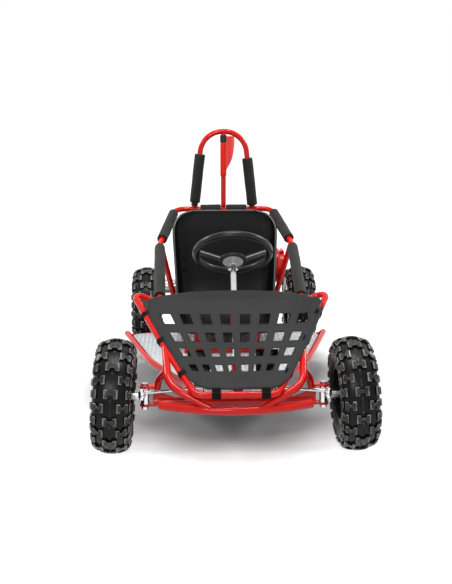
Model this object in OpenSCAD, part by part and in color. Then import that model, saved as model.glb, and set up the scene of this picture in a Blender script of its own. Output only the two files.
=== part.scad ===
/* [Overall] */
// Distance between the front and rear axles
wheelbase = 1000; // [980:5:1040]
// Distance between the front tyres' centres
front_track = 692; // [684:2:712]
// Distance between the rear tyres' centres
rear_track = 596; // [590:2:610]

/* [Wheels] */
// Tyre outside diameter
tyre_od = 330; // [324:2:334]
// Tyre section width
tyre_w = 112; // [106:2:116]
// Height of the tread blocks
tread_h = 8; // [6:0.5:8]
// Inward lean of the front wheels' tops, in degrees
camber = 3.5; // [2:0.5:4.5]
// Rear axle diameter
rear_axle_d = 25; // [20:1:25]

/* [Tubes] */
// Main rails, nose supports and rear bumper
frame_tube_d = 22; // [20:1:24]
// Nose loop, cage, hoop and stays
cage_tube_d = 20; // [18:1:21]
// Front bumper
bumper_tube_d = 25; // [22:1:28]

/* [Nose] */
// Height of the bumper's centre line
bumper_z = 171; // [165:1:177]
// Slope of the nose loop and its net, in degrees
nose_slope = 25; // [24:0.5:26]
// Length of the nose loop along its slope
nose_len = 456; // [450:2:462]
// Half the width of the nose loop's lower bar
nose_low_w = 112; // [108:2:116]
// Half the width of the nose loop at its upper corners
nose_high_w = 306; // [300:2:312]

/* [Cage] */
// Height of the bar behind the seat
crossbar_z = 563; // [555:1:575]
// Distance of that bar behind the front axle
crossbar_y = 985; // [980:1:990]
// Height of the roll hoop's centre line at its top
hoop_top_z = 856; // [830:2:880]
// Half the width of the hoop at its feet
hoop_foot_w = 112; // [108:1:116]
// Half the width of the hoop at its top bends
hoop_head_w = 79; // [77:1:84]

/* [Padding] */
// Outside diameter of the arm pads
arm_pad_d = 37; // [34:1:40]
// Outside diameter of the hoop pads
hoop_pad_d = 40; // [36:1:42]

/* [Seat] */
// Half the inside width of the seat
seat_w = 186; // [180:1:186]
// Thickness of the seat's moulding
seat_wall = 5; // [4:0.5:6]

/* [Steering] */
// Sideways place of the column
column_x = 12; // [8:1:16]
// Slope of the column below the horizontal, in degrees
column_slope = 50; // [49:0.5:51]
// Steering wheel outside diameter
wheel_d = 264; // [250:2:274]
// Steering shaft diameter
shaft_d = 18; // [16:1:18]

/* [Drive] */
// Teeth on the axle's sprocket
axle_teeth = 40; // [36:1:42]
// Teeth on the clutch's sprocket
clutch_teeth = 10; // [9:1:11]
// Chain pitch
chain_pitch = 12.7; // [12.7]
// Brake disc diameter
disc_d = 130; // [120:2:132]

/* [Hidden] */
$fn = 64;

// Colours, as seen in daylight
PAINT = "#E0241B";
FOAM = "#474745";
BLACK = "#1E1E1E";
STEEL = "#B9BDC1";
PLATE = "#C9D0D6";
CLOTH = "#E23A34";

// Radii of the tubes
rail_r = frame_tube_d / 2;
cage_r = cage_tube_d / 2;
bumper_r = bumper_tube_d / 2;
// Radial play of a turning fit, and of a loose one
running = 0.05;
loose = 0.3;
// A bend's joining collar stands this proud, over this length
collar_proud = 0.04;
collar_len = 1;

// Rails
rail_z = 142;
rail_rear_z = 126;
rail_rear_x = 165;
beam_z = 145;
beam_r = 12.5;
rail_route = [
    [118, -5, 143], [142, 150, rail_z], [262, 395, rail_z], [364, 746, rail_z],
    [352, 780, 112], [rail_rear_x, 806, rail_rear_z], [rail_rear_x, 1140, rail_rear_z]];
rail_bends = [0, 200, 400, 45, 30, 60, 0];
pan_z = 129;
pan_t = 2.5;
pan_edge = [[122, 12], [145, 150], [265, 395], [352, 690], [341, 714], [336, 752], [318, 766], [168, 784]];

// Nose
bumper_bow = 466;
bumper_half_angle = 26.8;
bumper_y = -150;
nose_y = -142;
nose_z = 214;
nose_mid = [213, 224];
net_lift = cage_r + 2;
net_t = 1.6;
net_shift = 8;
net_half = [
    [88, 8], [130, 34], [150, 72], [274, 372], [268, 398], [205, 422], [140, 439], [60, 445]];
net_rows = [312, 231, 164, 98];
net_columns = 8;

// Cage
cage_route = [[222, 276, 383], [235, 700, 478], [184, crossbar_y, crossbar_z]];
cage_bends = [0, 120, 42];
stay_x = 128;
rear_bumper_y = 1143;
rear_bumper_z = 262;
hoop_bend = 85;

// Steering geometry
kingpin_x = 258;
kingpin_r = 6;
yoke_gap = [140, 189];
yoke_t = 6;
arm_len = 52;
arm_out = 7;
rod_r = 5;
rod_z = 190.7;
wheel_centre = [column_x, 420, 498];
column_dir = [0, -cos(column_slope), -sin(column_slope)];
shaft_end = 445;
pitman = [column_x, 58, 159];
pitman_half = 10;
rod_inner_z = 174;

// Rear axle, engine and brake
rear_z = tyre_od / 2;
axle_r = rear_axle_d / 2;
sprocket_x = -90;
disc_x = 140;
crank = [0, wheelbase + 20, rear_z + 170];
engine_x = [-62, 115];
cradle_z = 207;
cradle_t = 4;

// Pedals
pedal_x = 102;
pedal_pivot = [0, 85, 160];
pedal_len = 105;
pedal_lean = 20;

function unit(v) = v / norm(v);
function across(d) = abs(d.z) < 0.9 ? unit(cross([0, 0, 1], d)) : unit(cross([1, 0, 0], d));
function turn(a, b) = acos(max(-1, min(1, a * b)));
function flip(p) = [-p.x, p.y, p.z];
function mix(a, b, t) = a + (b - a) * t;
function frame_of(x, y, z, p) = [
    [x.x, y.x, z.x, p.x],
    [x.y, y.y, z.y, p.y],
    [x.z, y.z, z.z, p.z],
    [0, 0, 0, 1]];
function column(s) = wheel_centre + column_dir * s;

// Lengths along the kart are counted from the front axle, and its middle is the origin
module place() { translate([0, -wheelbase / 2, 0]) children(); }
module both_sides() {
    children();
    mirror([1, 0, 0]) children();
}
module along(from, dir) {
    side = across(dir);
    multmatrix(frame_of(side, cross(dir, side), dir, from)) children();
}
module rod(from, to, r) {
    along(from, unit(to - from)) cylinder(h = norm(to - from), r = r);
}
module sleeve(from, to, outer, bore) {
    along(from, unit(to - from)) difference() {
        cylinder(h = norm(to - from), r = outer);
        translate([0, 0, -1]) cylinder(h = norm(to - from) + 2, r = bore);
    }
}
module bar(from, to, wide, thick) {
    along(from, unit(to - from))
        translate([-wide / 2, -thick / 2, 0]) cube([wide, thick, norm(to - from)]);
}

// A bent tube: straight runs, round bends and a hair-thin collar where they join
module bend(corner, before, after, radius, r) {
    angle = turn(before, after);
    inward = unit(after - before * (before * after));
    centre = corner - before * radius * tan(angle / 2) + inward * radius;
    multmatrix(frame_of(-inward, before, cross(-inward, before), centre))
        rotate_extrude(angle = angle) translate([radius, 0]) circle(r = r);
}
module collar(at, dir, r) {
    along(at - dir * collar_len / 2, dir) cylinder(h = collar_len, r = r + collar_proud);
}
module tube(points, bends, r, closed = false) {
    n = len(points);
    last = closed ? n - 1 : n - 2;
    dirs = [for (i = [0 : last]) unit(points[(i + 1) % n] - points[i])];
    backs = [for (i = [0 : n - 1])
        !closed && (i == 0 || i == n - 1) ? 0
        : bends[i] * tan(turn(dirs[(i + n - 1) % n], dirs[i]) / 2)];
    for (i = [0 : last]) {
        a = points[i] + dirs[i] * backs[i];
        b = points[(i + 1) % n] - dirs[i] * backs[(i + 1) % n];
        rod(a, b, r);
        if (backs[i] > 0) collar(a, dirs[i], r);
        if (backs[(i + 1) % n] > 0) collar(b, dirs[i], r);
    }
    for (i = [0 : n - 1])
        if (backs[i] > 0)
            bend(points[i], dirs[(i + n - 1) % n], dirs[i], bends[i], r);
}

// Lower frame
module main_rails() {
    color(PAINT) place() both_sides() tube(rail_route, rail_bends, rail_r);
}
module cross_tubes() {
    floor_z = pan_z + pan_t;
    seat_front = [150, 520, floor_z + cage_r - 0.1];
    seat_rear = [150, 770, floor_z + cage_r - 0.1];
    cradle_front = [rail_rear_x, 905, cradle_z - cage_r];
    color(PAINT) place() {
        for (p = [seat_front, seat_rear, cradle_front]) rod(flip(p), p, cage_r);
        both_sides() rod([cradle_front.x, cradle_front.y, rail_rear_z], cradle_front, cage_r);
        for (y = [880, 1110])
            rod([-rail_rear_x, y, rail_rear_z], [rail_rear_x, y, rail_rear_z], rail_r);
    }
}
module yoke() {
    back_x = 229;
    eye_r = 15;
    front_y = -9;
    for (z = [yoke_gap.x - yoke_t, yoke_gap.y]) {
        translate([back_x, front_y, z]) cube([kingpin_x - back_x, eye_r - front_y, yoke_t]);
        translate([kingpin_x, 0, z]) cylinder(h = yoke_t, r = eye_r);
    }
    translate([back_x, front_y, yoke_gap.x - yoke_t])
        cube([yoke_t, eye_r - front_y, yoke_gap.y - yoke_gap.x + 2 * yoke_t]);
    gusset = [[172, beam_z], [232, beam_z], [232, 180], [172, 157]];
    translate([0, 3, 0]) rotate([90, 0, 0]) linear_extrude(6) polygon(gusset);
}
module front_axle_beam() {
    color(PAINT) place() difference() {
        union() {
            rod([-232, 0, beam_z], [232, 0, beam_z], beam_r);
            both_sides() yoke();
        }
        both_sides() translate([kingpin_x, 0, 100]) cylinder(h = 150, r = kingpin_r + running);
    }
}
module floor_pan() {
    outline = concat(pan_edge, [for (i = [len(pan_edge) - 1 : -1 : 0]) [-pan_edge[i].x, pan_edge[i].y]]);
    color(PLATE) place() translate([0, 0, pan_z]) linear_extrude(pan_t) polygon(outline);
}

// Nose
function on_nose(u, v, lift = 0) = [
    u,
    nose_y + v * cos(nose_slope) - lift * sin(nose_slope),
    nose_z + v * sin(nose_slope) + lift * cos(nose_slope)];
nose_half = [[nose_low_w, 0], nose_mid, [nose_high_w, nose_len]];
function nose_side(v) = v < nose_mid.y
    ? mix(nose_low_w, nose_mid.x, v / nose_mid.y)
    : mix(nose_mid.x, nose_high_w, (v - nose_mid.y) / (nose_len - nose_mid.y));
// The loop's upper corners hook round to a bar that arches under the net
module nose_loop() {
    dash = [[240, 272, 376], [130, 260, 397]];
    right = concat([for (p = nose_half) on_nose(p.x, p.y)], dash);
    bends = [30, 200, 24, 60, 120];
    back = [for (i = [len(right) - 1 : -1 : 0]) i];
    color(PAINT) place() tube(
        concat(right, [for (i = back) flip(right[i])]),
        concat(bends, [for (i = back) bends[i]]), cage_r, true);
}
// Each support runs from the loop's side to the bumper, and a brace ties it to the yoke
module nose_supports() {
    foot_x = 62;
    foot = [foot_x, bumper_y + bumper_bow - sqrt(bumper_bow * bumper_bow - foot_x * foot_x), bumper_z];
    side = [on_nose(nose_side(194), 194), [187, -100, 229], foot];
    brace = [[223, 10, 184], [217, 2, 212], [194, -48, 253]];
    color(PAINT) place() both_sides() {
        tube(side, [0, 70, 0], rail_r);
        tube(brace, [0, 30, 0], cage_r);
    }
}
module front_bumper() {
    color(PAINT) place() translate([0, bumper_y + bumper_bow, bumper_z])
        rotate([0, 0, -90 - bumper_half_angle])
        rotate_extrude(angle = 2 * bumper_half_angle)
        translate([bumper_bow, 0]) circle(r = bumper_r);
}

// The net's windows fan out towards its upper edge
function row_half(v) = 88.5 + 0.366 * v;
function window(i, v) =
    let (across_u = 2 * i / (net_columns - 1) - 1, pitch = 2 * row_half(v) / (net_columns - 1),
         half_h = 0.39 * pitch, half_w = 0.27 * pitch)
    [for (c = [[-1, -1], [1, -1], [1, 1], [-1, 1]])
        [across_u * row_half(v + c.y * half_h) + c.x * half_w, v + c.y * half_h]];
module nose_net() {
    left = [for (i = [len(net_half) - 1 : -1 : 0]) [-net_half[i].x, net_half[i].y]];
    color(FOAM) place()
        multmatrix(frame_of([1, 0, 0], [0, cos(nose_slope), sin(nose_slope)],
            [0, -sin(nose_slope), cos(nose_slope)], on_nose(net_shift, 0, net_lift)))
        linear_extrude(net_t) difference() {
            polygon(concat(net_half, left));
            for (v = net_rows, i = [0 : net_columns - 1]) polygon(window(i, v));
        }
}
module strap(at, dir) {
    half = 11;
    sleeve(at - dir * half, at + dir * half, cage_r + 2, cage_r + 0.5);
}
module net_straps() {
    up = unit(on_nose(nose_mid.x, nose_mid.y) - on_nose(nose_low_w, 0));
    top = unit(on_nose(nose_high_w, nose_len) - on_nose(nose_mid.x, nose_mid.y));
    color(BLACK) place() {
        both_sides() {
            for (v = [80, 219]) strap(on_nose(nose_side(v), v), up);
            strap(on_nose(nose_side(340), 340), top);
        }
        for (u = [-56, 80]) strap(on_nose(u, 0), [1, 0, 0]);
    }
}

// Cage and hoop
module cage_tube() {
    left = [for (i = [2 : -1 : 0]) flip(cage_route[i])];
    bends = concat(cage_bends, [for (i = [2 : -1 : 0]) cage_bends[i]]);
    color(PAINT) place() tube(concat(cage_route, left), bends, cage_r);
}
module cage_struts() {
    color(PAINT) place() both_sides() {
        rod([231, 706, 474], [168, 900, 133], cage_r);
        rod([stay_x, crossbar_y, crossbar_z], [stay_x, rear_bumper_y, rear_bumper_z], cage_r);
    }
}
module rear_bumper() {
    foot = [rail_rear_x, rear_bumper_y, rail_rear_z];
    head = [rail_rear_x, rear_bumper_y, rear_bumper_z];
    color(PAINT) place() tube([foot, head, flip(head), flip(foot)], [0, 55, 55, 0], rail_r);
}
hoop_foot = [hoop_foot_w, crossbar_y, crossbar_z + 3];
hoop_head = [hoop_head_w, crossbar_y, hoop_top_z];
function on_leg(z) = mix(hoop_foot, hoop_head, (z - hoop_foot.z) / (hoop_head.z - hoop_foot.z));
module roll_hoop() {
    color(PAINT) place()
        tube([hoop_foot, hoop_head, flip(hoop_head), flip(hoop_foot)], [0, hoop_bend, hoop_bend, 0], cage_r);
}
// Foam on each leg: its side, lower end and upper end; a socket fills the gap below it
leg_pads = [[-1, crossbar_z + 26, crossbar_z + 208], [1, crossbar_z + 16, crossbar_z + 193]];
module leg_sleeve(side, low, high, outer, bore) {
    turned = [side, 1, 1];
    a = on_leg(low);
    b = on_leg(high);
    sleeve([for (i = [0 : 2]) a[i] * turned[i]], [for (i = [0 : 2]) b[i] * turned[i]], outer, bore);
}
module hoop_sockets() {
    low = crossbar_z + 13;
    color(BLACK) place() for (p = leg_pads) leg_sleeve(p[0], low, p[1] - 0.5, cage_r + 3, cage_r + 0.1);
}
post_r = cage_r - 0.5;
module hoop_post() {
    color(PAINT) place() rod([0, crossbar_y, crossbar_z + 3], [0, crossbar_y, hoop_top_z - 6], post_r);
}
module post_cap() {
    low = hoop_top_z - 40;
    color(BLACK) place()
        sleeve([0, crossbar_y, low], [0, crossbar_y, low + 26], post_r + 3, post_r + 0.1);
}

// A pennant on a sleeve round the post, blown back in a soft fold
flag_low = hoop_top_z - 166;
flag_high = hoop_top_z - 42;
flag_len = 150;
flag_t = 1.6;
flag_turn = 72;
flag_steps = 30;
function flag_wave(d) = 3 * sin(d * 2.6 + 10) * min(1, d / 60);
module safety_flag() {
    middle = [for (i = [0 : flag_steps]) let (d = i * flag_len / flag_steps) [d + 11, flag_wave(d)]];
    top = [for (p = middle) p + [0, flag_t / 2]];
    under = [for (i = [flag_steps : -1 : 0]) middle[i] - [0, flag_t / 2]];
    belly = [for (i = [0 : 8]) [11 + flag_len * i / 8, flag_low + 10 + 101 * pow(i / 8, 1.9)]];
    past_cap = post_r + 3.8;
    side = concat([[0, flag_low + 10]], belly, [[flag_len + 11, flag_high + 15],
        [past_cap, flag_high + 24], [past_cap, flag_high - 1], [0, flag_high - 1]]);
    color(CLOTH) place() {
        translate([0, crossbar_y, 0]) rotate([0, 0, flag_turn]) intersection() {
            translate([0, 0, flag_low]) linear_extrude(flag_high - flag_low + 30)
                polygon(concat(top, under));
            translate([0, 40, 0]) rotate([90, 0, 0]) linear_extrude(80) polygon(side);
        }
        sleeve([0, crossbar_y, flag_low], [0, crossbar_y, flag_high], post_r + 2.4, post_r + 0.4);
    }
}

// Foam sleeves
module hoop_pads() {
    color(FOAM) place() for (p = leg_pads) leg_sleeve(p[0], p[1], p[2], hoop_pad_d / 2, cage_r + loose);
}
module arm_pads() {
    front = [for (y = [290, 672]) mix(cage_route[0], cage_route[1], (y - 276) / 424)];
    rear = [for (y = [738, 948]) mix(cage_route[1], cage_route[2], (y - 700) / (crossbar_y - 700))];
    color(FOAM) place() both_sides() for (p = [front, rear])
        sleeve(p[0], p[1], arm_pad_d / 2, cage_r + loose);
}
module crossbar_pad() {
    color(FOAM) place() both_sides()
        sleeve([post_r + 1, crossbar_y, crossbar_z], [88, crossbar_y, crossbar_z], 17, cage_r + loose);
}

// Seat, a moulded bucket: place along its middle, half width and height of its sides
seat_rows = [
    [530, 206, 0.88, 24], [580, 184, 0.91, 62], [650, 173, 0.92, 88], [740, 175, 0.925, 104],
    [810, 206, 0.93, 112], [848, 280, 0.94, 110], [866, 370, 0.965, 96], [878, 450, 0.99, 76],
    [884, 498, 1, 54], [888, 524, 0.97, 38], [891, 544, 0.9, 24], [893, 558, 0.81, 12], [894, 569, 0.62, 5]];
seat_across = 14;
function seat_dir(i) = let (a = seat_rows[max(i - 1, 0)], b = seat_rows[min(i + 1, len(seat_rows) - 1)])
    unit([0, b[0] - a[0], b[1] - a[1]]);
function seat_up(i) = let (d = seat_dir(i)) [0, -d.z, d.y];
function seat_point(i, j, out) =
    let (row = seat_rows[i], t = 2 * j / seat_across - 1, far = abs(t), up = seat_up(i),
         half = seat_w * row[2] + out * seat_wall, rise = row[3] + out * seat_wall)
    [sign(t) * half * (1 - pow(1 - far, 2.2)), row[0], row[1]] + up * (rise * pow(far, 5) - out * seat_wall);
module seat_shell() {
    n = len(seat_rows);
    m = seat_across + 1;
    points = concat(
        [for (i = [0 : n - 1], j = [0 : m - 1]) seat_point(i, j, 0)],
        [for (i = [0 : n - 1], j = [0 : m - 1]) seat_point(i, j, 1)]);
    function id(side, i, j) = side * n * m + i * m + j;
    function quad(a, b, c, d) = [[a, b, c], [a, c, d]];
    skin = [for (i = [0 : n - 2], j = [0 : m - 2])
        each concat(
            quad(id(0, i, j), id(0, i + 1, j), id(0, i + 1, j + 1), id(0, i, j + 1)),
            quad(id(1, i, j), id(1, i, j + 1), id(1, i + 1, j + 1), id(1, i + 1, j)))];
    ends = [for (j = [0 : m - 2])
        each concat(
            quad(id(0, 0, j), id(0, 0, j + 1), id(1, 0, j + 1), id(1, 0, j)),
            quad(id(0, n - 1, j), id(1, n - 1, j), id(1, n - 1, j + 1), id(0, n - 1, j + 1)))];
    rims = [for (i = [0 : n - 2])
        each concat(
            quad(id(0, i, 0), id(1, i, 0), id(1, i + 1, 0), id(0, i + 1, 0)),
            quad(id(0, i, m - 1), id(0, i + 1, m - 1), id(1, i + 1, m - 1), id(1, i, m - 1)))];
    color(BLACK) place() polyhedron(points, concat(skin, ends, rims));
}
module seat_brackets() {
    color(PAINT) place() both_sides() {
        translate([90, 512, 148]) cube([24, 46, 5]);
        translate([90, 553, 148]) cube([24, 5, 42]);
        translate([90, 755, 148]) cube([24, 30, 30]);
    }
}
module seat_bolts() {
    color(BLACK) place() both_sides() for (z = [352, 392]) {
        y = mix(848, 866, (z - 280) / 90);
        rod([150, y - 10, z], [150, y - 3.6, z], 9);
    }
}

// Steering
module steering_wheel() {
    rim_r = 11;
    ring_r = wheel_d / 2 - rim_r;
    hub_s = 22;
    color(BLACK) place() {
        along(wheel_centre, column_dir) {
            rotate_extrude() translate([ring_r, 0]) circle(r = rim_r);
            translate([0, 0, hub_s]) cylinder(h = 6, r = 46);
        }
        for (a = [18, 162, 270]) {
            way = [1, 0, 0] * cos(a) + unit([0, -sin(column_slope), cos(column_slope)]) * sin(a);
            bar(column(hub_s + 3) + way * 36, column(2) + way * (ring_r - 4), 26, 7);
        }
    }
}
module steering_hub() {
    color(STEEL) place() {
        rod(column(28.3), column(33.5), 33);
        sleeve(column(33), column(48), 13, shaft_d / 2 + 0.1);
    }
}
module steering_shaft() {
    plate_half = 15;
    color(STEEL) place() {
        rod(column(33.8), column(shaft_end), shaft_d / 2);
        bar(column(shaft_end - 4), pitman + [0, 10, 0], 24, 6);
        translate(pitman - [plate_half, 12, 3]) cube([2 * plate_half, 24, 6]);
    }
}
module column_supports() {
    color(PAINT) place() difference() {
        union() {
            rod(column(215), column(255), 15);
            rod(column(392), column(418), 14);
            for (x = [-14.5, 9.5])
                translate([column_x + x, 250, 305]) cube([5, 24, 85]);
            translate([column_x - 18, 147, pan_z + pan_t]) cube([36, 6, 56]);
            translate([column_x - 24, 140, pan_z + pan_t]) cube([48, 30, 4]);
        }
        rod(column(60), column(460), shaft_d / 2 + running);
    }
}

// Front wheels: the profile is read as [place across, radius]
half_w = tyre_w / 2 - 3;
crown_r = tyre_od / 2 - tread_h;
function crown(t, shrink) = [
    (half_w - shrink) * pow(cos(t), 0.77),
    118 + (crown_r - 118 - shrink) * pow(sin(t), 0.77)];
function flank(t, shrink) = [48 - shrink + (half_w - 48) * sin(t), 88 + 30 * (1 - cos(t))];
tyre_outer = concat(
    [[43.8, 76.6], [43.8, 86.5]],
    [for (t = [0 : 25 : 75]) flank(t, 0)],
    [for (t = [0 : 10 : 90]) crown(t, 0)]);
tyre_inner = concat(
    [[31, 76.6], [34, 88]],
    [for (t = [15 : 25 : 65]) flank(t, 8)],
    [for (t = [0 : 15 : 90]) crown(t, 8)]);
function mirrored(list) = [for (i = [len(list) - 1 : -1 : 0]) [-list[i].x, list[i].y]];
tyre_section = concat(tyre_outer, mirrored(tyre_outer), tyre_inner_loop());
function tyre_inner_loop() =
    let (left = [for (p = tyre_inner) [-p.x, p.y]]) concat(left, mirrored(left));
// Tread rows: place on the crown, half pitches round, width, length, lobe, waist and height
tread_repeats = 13;
tread_rows = [
    [90, 0, 30.4, 24, 8.5, 10, tread_h], [62, 1, 25.6, 25, 7.6, 11, tread_h],
    [36.5, 0, 18, 24, 5.7, 12, tread_h - 1], [18.5, 1, 12.4, 21, 3.8, 14, tread_h - 2.5]];
function crown_tilt(t) = t > 89 ? 0
    : let (a = crown(t + 1, 0), b = crown(t - 1, 0)) atan2(a.y - b.y, b.x - a.x);
// A dog-bone outline: two lobes joined by a waist
function bone(wide, tall, lobe, waist) =
    let (right = [[wide / 2, -tall / 2], [wide / 2, tall / 2], [wide / 2 - lobe, tall / 2],
        [wide / 2 - 1.35 * lobe, waist / 2]])
    concat(right, mirrored(right), [for (p = [right[2], right[3]]) [-p.x, -p.y]],
        [[right[3].x, -right[3].y], [right[2].x, -right[2].y]]);
front_z = tyre_od / 2 * cos(camber) + tread_rows[0][2] / 2 * sin(camber);
hub_half = 38;
rim_section = [
    [-47.4, 86], [-44.2, 86], [-44.2, 76.3], [-30, 76.3], [-22, 64], [22, 64], [30, 76.3], [44.2, 76.3],
    [44.2, 86], [47.4, 86], [47.4, 73], [28, 73], [20.5, 61], [-20.5, 61], [-28, 73], [-47.4, 73]];

module spin(section) {
    rotate([0, 90, 0]) rotate_extrude() polygon([for (p = section) [p.y, p.x]]);
}
// Right front wheel's frame: its axle points outwards along +X
module at_front_wheel() {
    translate([front_track / 2, 0, front_z]) rotate([0, -camber, 0]) children();
}
module tread_block(row) {
    root = 4;
    at = crown(row[0], 0);
    translate([at.x, 0, at.y]) rotate([0, crown_tilt(row[0]), 0]) translate([0, 0, -root])
        linear_extrude(row[6] + root) polygon(bone(row[2], row[3], row[4], row[5]));
}
module tyre() {
    step = 360 / tread_repeats;
    color(BLACK) {
        spin(tyre_section);
        for (i = [0 : tread_repeats - 1], row = tread_rows)
            rotate([180 + (i + row[1] / 2) * step, 0, 0]) {
                tread_block(row);
                if (row[0] < 89) mirror([1, 0, 0]) tread_block(row);
            }
    }
}
module front_rim() {
    disc = [[-9, 22], [-5, 22], [-5, 62], [-9, 62]];
    hub = [[-hub_half, 17.55], [hub_half, 17.55], [hub_half, 23], [-hub_half, 23]];
    core = [[-hub_half + 12, 13], [hub_half - 12, 13], [hub_half - 12, 18], [-hub_half + 12, 18]];
    color(BLACK) {
        spin(rim_section);
        spin(disc);
        spin(hub);
        spin(core);
    }
}
module wheel_bearings() {
    ring = [[-hub_half + 0.5, shaft_bore], [-hub_half + 11.5, shaft_bore],
        [-hub_half + 11.5, 17.5], [-hub_half + 0.5, 17.5]];
    color(STEEL) {
        spin(ring);
        mirror([1, 0, 0]) spin(ring);
    }
}
stub_r = 7.5;
shaft_bore = stub_r + running;
module knuckle() {
    root = kingpin_x - front_track / 2;
    tube_h = [yoke_gap.x + 0.4, yoke_gap.y - 0.4];
    arm_dir = [sin(arm_out), -cos(arm_out), 0];
    arm_z = 178;
    arm_t = 6;
    color(STEEL) {
        difference() {
            union() {
                translate([kingpin_x, 0, tube_h.x]) cylinder(h = tube_h.y - tube_h.x, r = 12);
                at_front_wheel() rotate([0, 90, 0]) {
                    translate([0, 0, root]) cylinder(h = -root - hub_half - 1.5, r = 11);
                    translate([0, 0, -hub_half - 4]) cylinder(h = 2 * hub_half + 20, r = stub_r);
                }
                translate([kingpin_x, 0, arm_z]) rotate([0, 0, arm_out - 90])
                    translate([0, -8, 0]) cube([arm_len, 16, arm_t]);
                translate([kingpin_x, 0, arm_z] + arm_dir * arm_len) cylinder(h = arm_t, r = 10);
            }
            translate([kingpin_x, 0, 100]) cylinder(h = 150, r = kingpin_r + running);
            translate([kingpin_x, 0, arm_z - 2] + arm_dir * arm_len) cylinder(h = arm_t + 4, r = 4 + running);
        }
        at_front_wheel() rotate([0, 90, 0]) translate([0, 0, hub_half + 1]) difference() {
            cylinder(h = 10, r = 12, $fn = 6);
            translate([0, 0, -1]) cylinder(h = 12, r = stub_r + 0.1);
        }
    }
}
module left_knuckle() { place() mirror([1, 0, 0]) knuckle(); }
module right_knuckle() { place() knuckle(); }
module left_front_tyre() { place() mirror([1, 0, 0]) at_front_wheel() tyre(); }
module right_front_tyre() { place() at_front_wheel() tyre(); }
module left_front_rim() { place() mirror([1, 0, 0]) at_front_wheel() front_rim(); }
module right_front_rim() { place() at_front_wheel() front_rim(); }
module left_wheel_bearings() { place() mirror([1, 0, 0]) at_front_wheel() wheel_bearings(); }
module right_wheel_bearings() { place() at_front_wheel() wheel_bearings(); }
module kingpin_bolts() {
    color(STEEL) place() both_sides() translate([kingpin_x, 0, 0]) {
        translate([0, 0, 124]) cylinder(h = 78, r = kingpin_r);
        translate([0, 0, yoke_gap.y + yoke_t + 0.1]) cylinder(h = 7, r = 10.5, $fn = 6);
        translate([0, 0, yoke_gap.x - yoke_t - 9.1]) cylinder(h = 9, r = 10.5, $fn = 6);
    }
}
module tie_rod(inner) {
    outer = [kingpin_x, 0, 0] + arm_len * [sin(arm_out), -cos(arm_out), 0] + [0, 0, rod_z];
    way = unit(inner - outer);
    color(STEEL) {
        rod(outer + way * 8, inner - way * 7, rod_r);
        translate(outer - [0, 0, 5]) cylinder(h = 10, r = 10);
        translate(outer - [0, 0, 17]) cylinder(h = 14, r = 4);
        translate(outer - [0, 0, 19.7]) cylinder(h = 6.5, r = 7.5, $fn = 6);
        translate(outer + [0, 0, 4]) cylinder(h = 6, r = 7, $fn = 6);
        translate(inner - [0, 0, 5]) cylinder(h = 10, r = 9);
        translate(inner - [0, 0, 9.2]) cylinder(h = 6, r = 4);
    }
}
module left_tie_rod() {
    place() mirror([1, 0, 0]) tie_rod([-(column_x - pitman_half), pitman.y, rod_inner_z]);
}
module right_tie_rod() {
    place() tie_rod([column_x + pitman_half, pitman.y, rod_inner_z]);
}

// Rear axle
module at_rear_axle(x) { translate([x, wheelbase, rear_z]) children(); }
module ring(outer, bore, thick, holes = 0, hole_pcd = 0, hole_r = 0) {
    rotate([0, 90, 0]) translate([0, 0, -thick / 2]) difference() {
        cylinder(h = thick, r = outer);
        translate([0, 0, -1]) cylinder(h = thick + 2, r = bore);
        for (i = [0 : 1 : holes - 1]) rotate([0, 0, i * 360 / holes])
            translate([hole_pcd / 2, 0, -1]) cylinder(h = thick + 2, r = hole_r);
    }
}
hub_bore = axle_r + 0.1;
module rear_axle_shaft() {
    reach = rear_track / 2 + 20;
    color(STEEL) place() {
        rod([-reach, wheelbase, rear_z], [reach, wheelbase, rear_z], axle_r);
        both_sides() at_rear_axle(reach - 1) rotate([0, 90, 0]) cylinder(h = 10, r = 18, $fn = 6);
    }
}
module rear_tyres() {
    place() for (x = [-1, 1]) at_rear_axle(x * rear_track / 2) tyre();
}
module rear_rims() {
    disc = [[-9, 20.3], [-5, 20.3], [-5, 62], [-9, 62]];
    color(BLACK) place() both_sides() at_rear_axle(rear_track / 2) {
        spin(rim_section);
        spin(disc);
    }
}
module rear_hubs() {
    color(STEEL) place() both_sides() at_rear_axle(rear_track / 2) {
        translate([-12, 0, 0]) ring(20, hub_bore, 50);
        translate([-12.2, 0, 0]) ring(40, hub_bore, 6);
    }
}
function sprocket_r(teeth) = chain_pitch / sin(180 / teeth) / 2;
function tooth(i, teeth) =
    let (step = 360 / teeth, mid = i * step, low = sprocket_r(teeth) - 4, tip = sprocket_r(teeth) + 3)
    [for (p = [[-0.42, low], [-0.24, low + 2.4], [-0.1, tip], [0.1, tip], [0.24, low + 2.4], [0.42, low]])
        [p.y * cos(mid + p.x * step), p.y * sin(mid + p.x * step)]];
module sprocket(teeth) {
    rotate([90, 0, 90]) linear_extrude(4, center = true)
        polygon([for (i = [0 : teeth - 1]) each tooth(i, teeth)]);
}
module rear_sprocket() {
    windows = 6;
    color(STEEL) place() at_rear_axle(sprocket_x) {
        difference() {
            sprocket(axle_teeth);
            rotate([0, 90, 0]) cylinder(h = 10, r = hub_bore + 4, center = true);
            for (i = [0 : windows - 1]) rotate([i * 360 / windows, 0, 0]) translate([0, 0, 53])
                rotate([0, 90, 0]) cylinder(h = 10, r = 14, center = true);
        }
        ring(30, hub_bore, 12);
    }
}
module brake_disc() {
    color(STEEL) place() at_rear_axle(disc_x) {
        ring(disc_d / 2, 24, 4, 8, 92, 5);
        ring(26, hub_bore, 16);
    }
}
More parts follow.
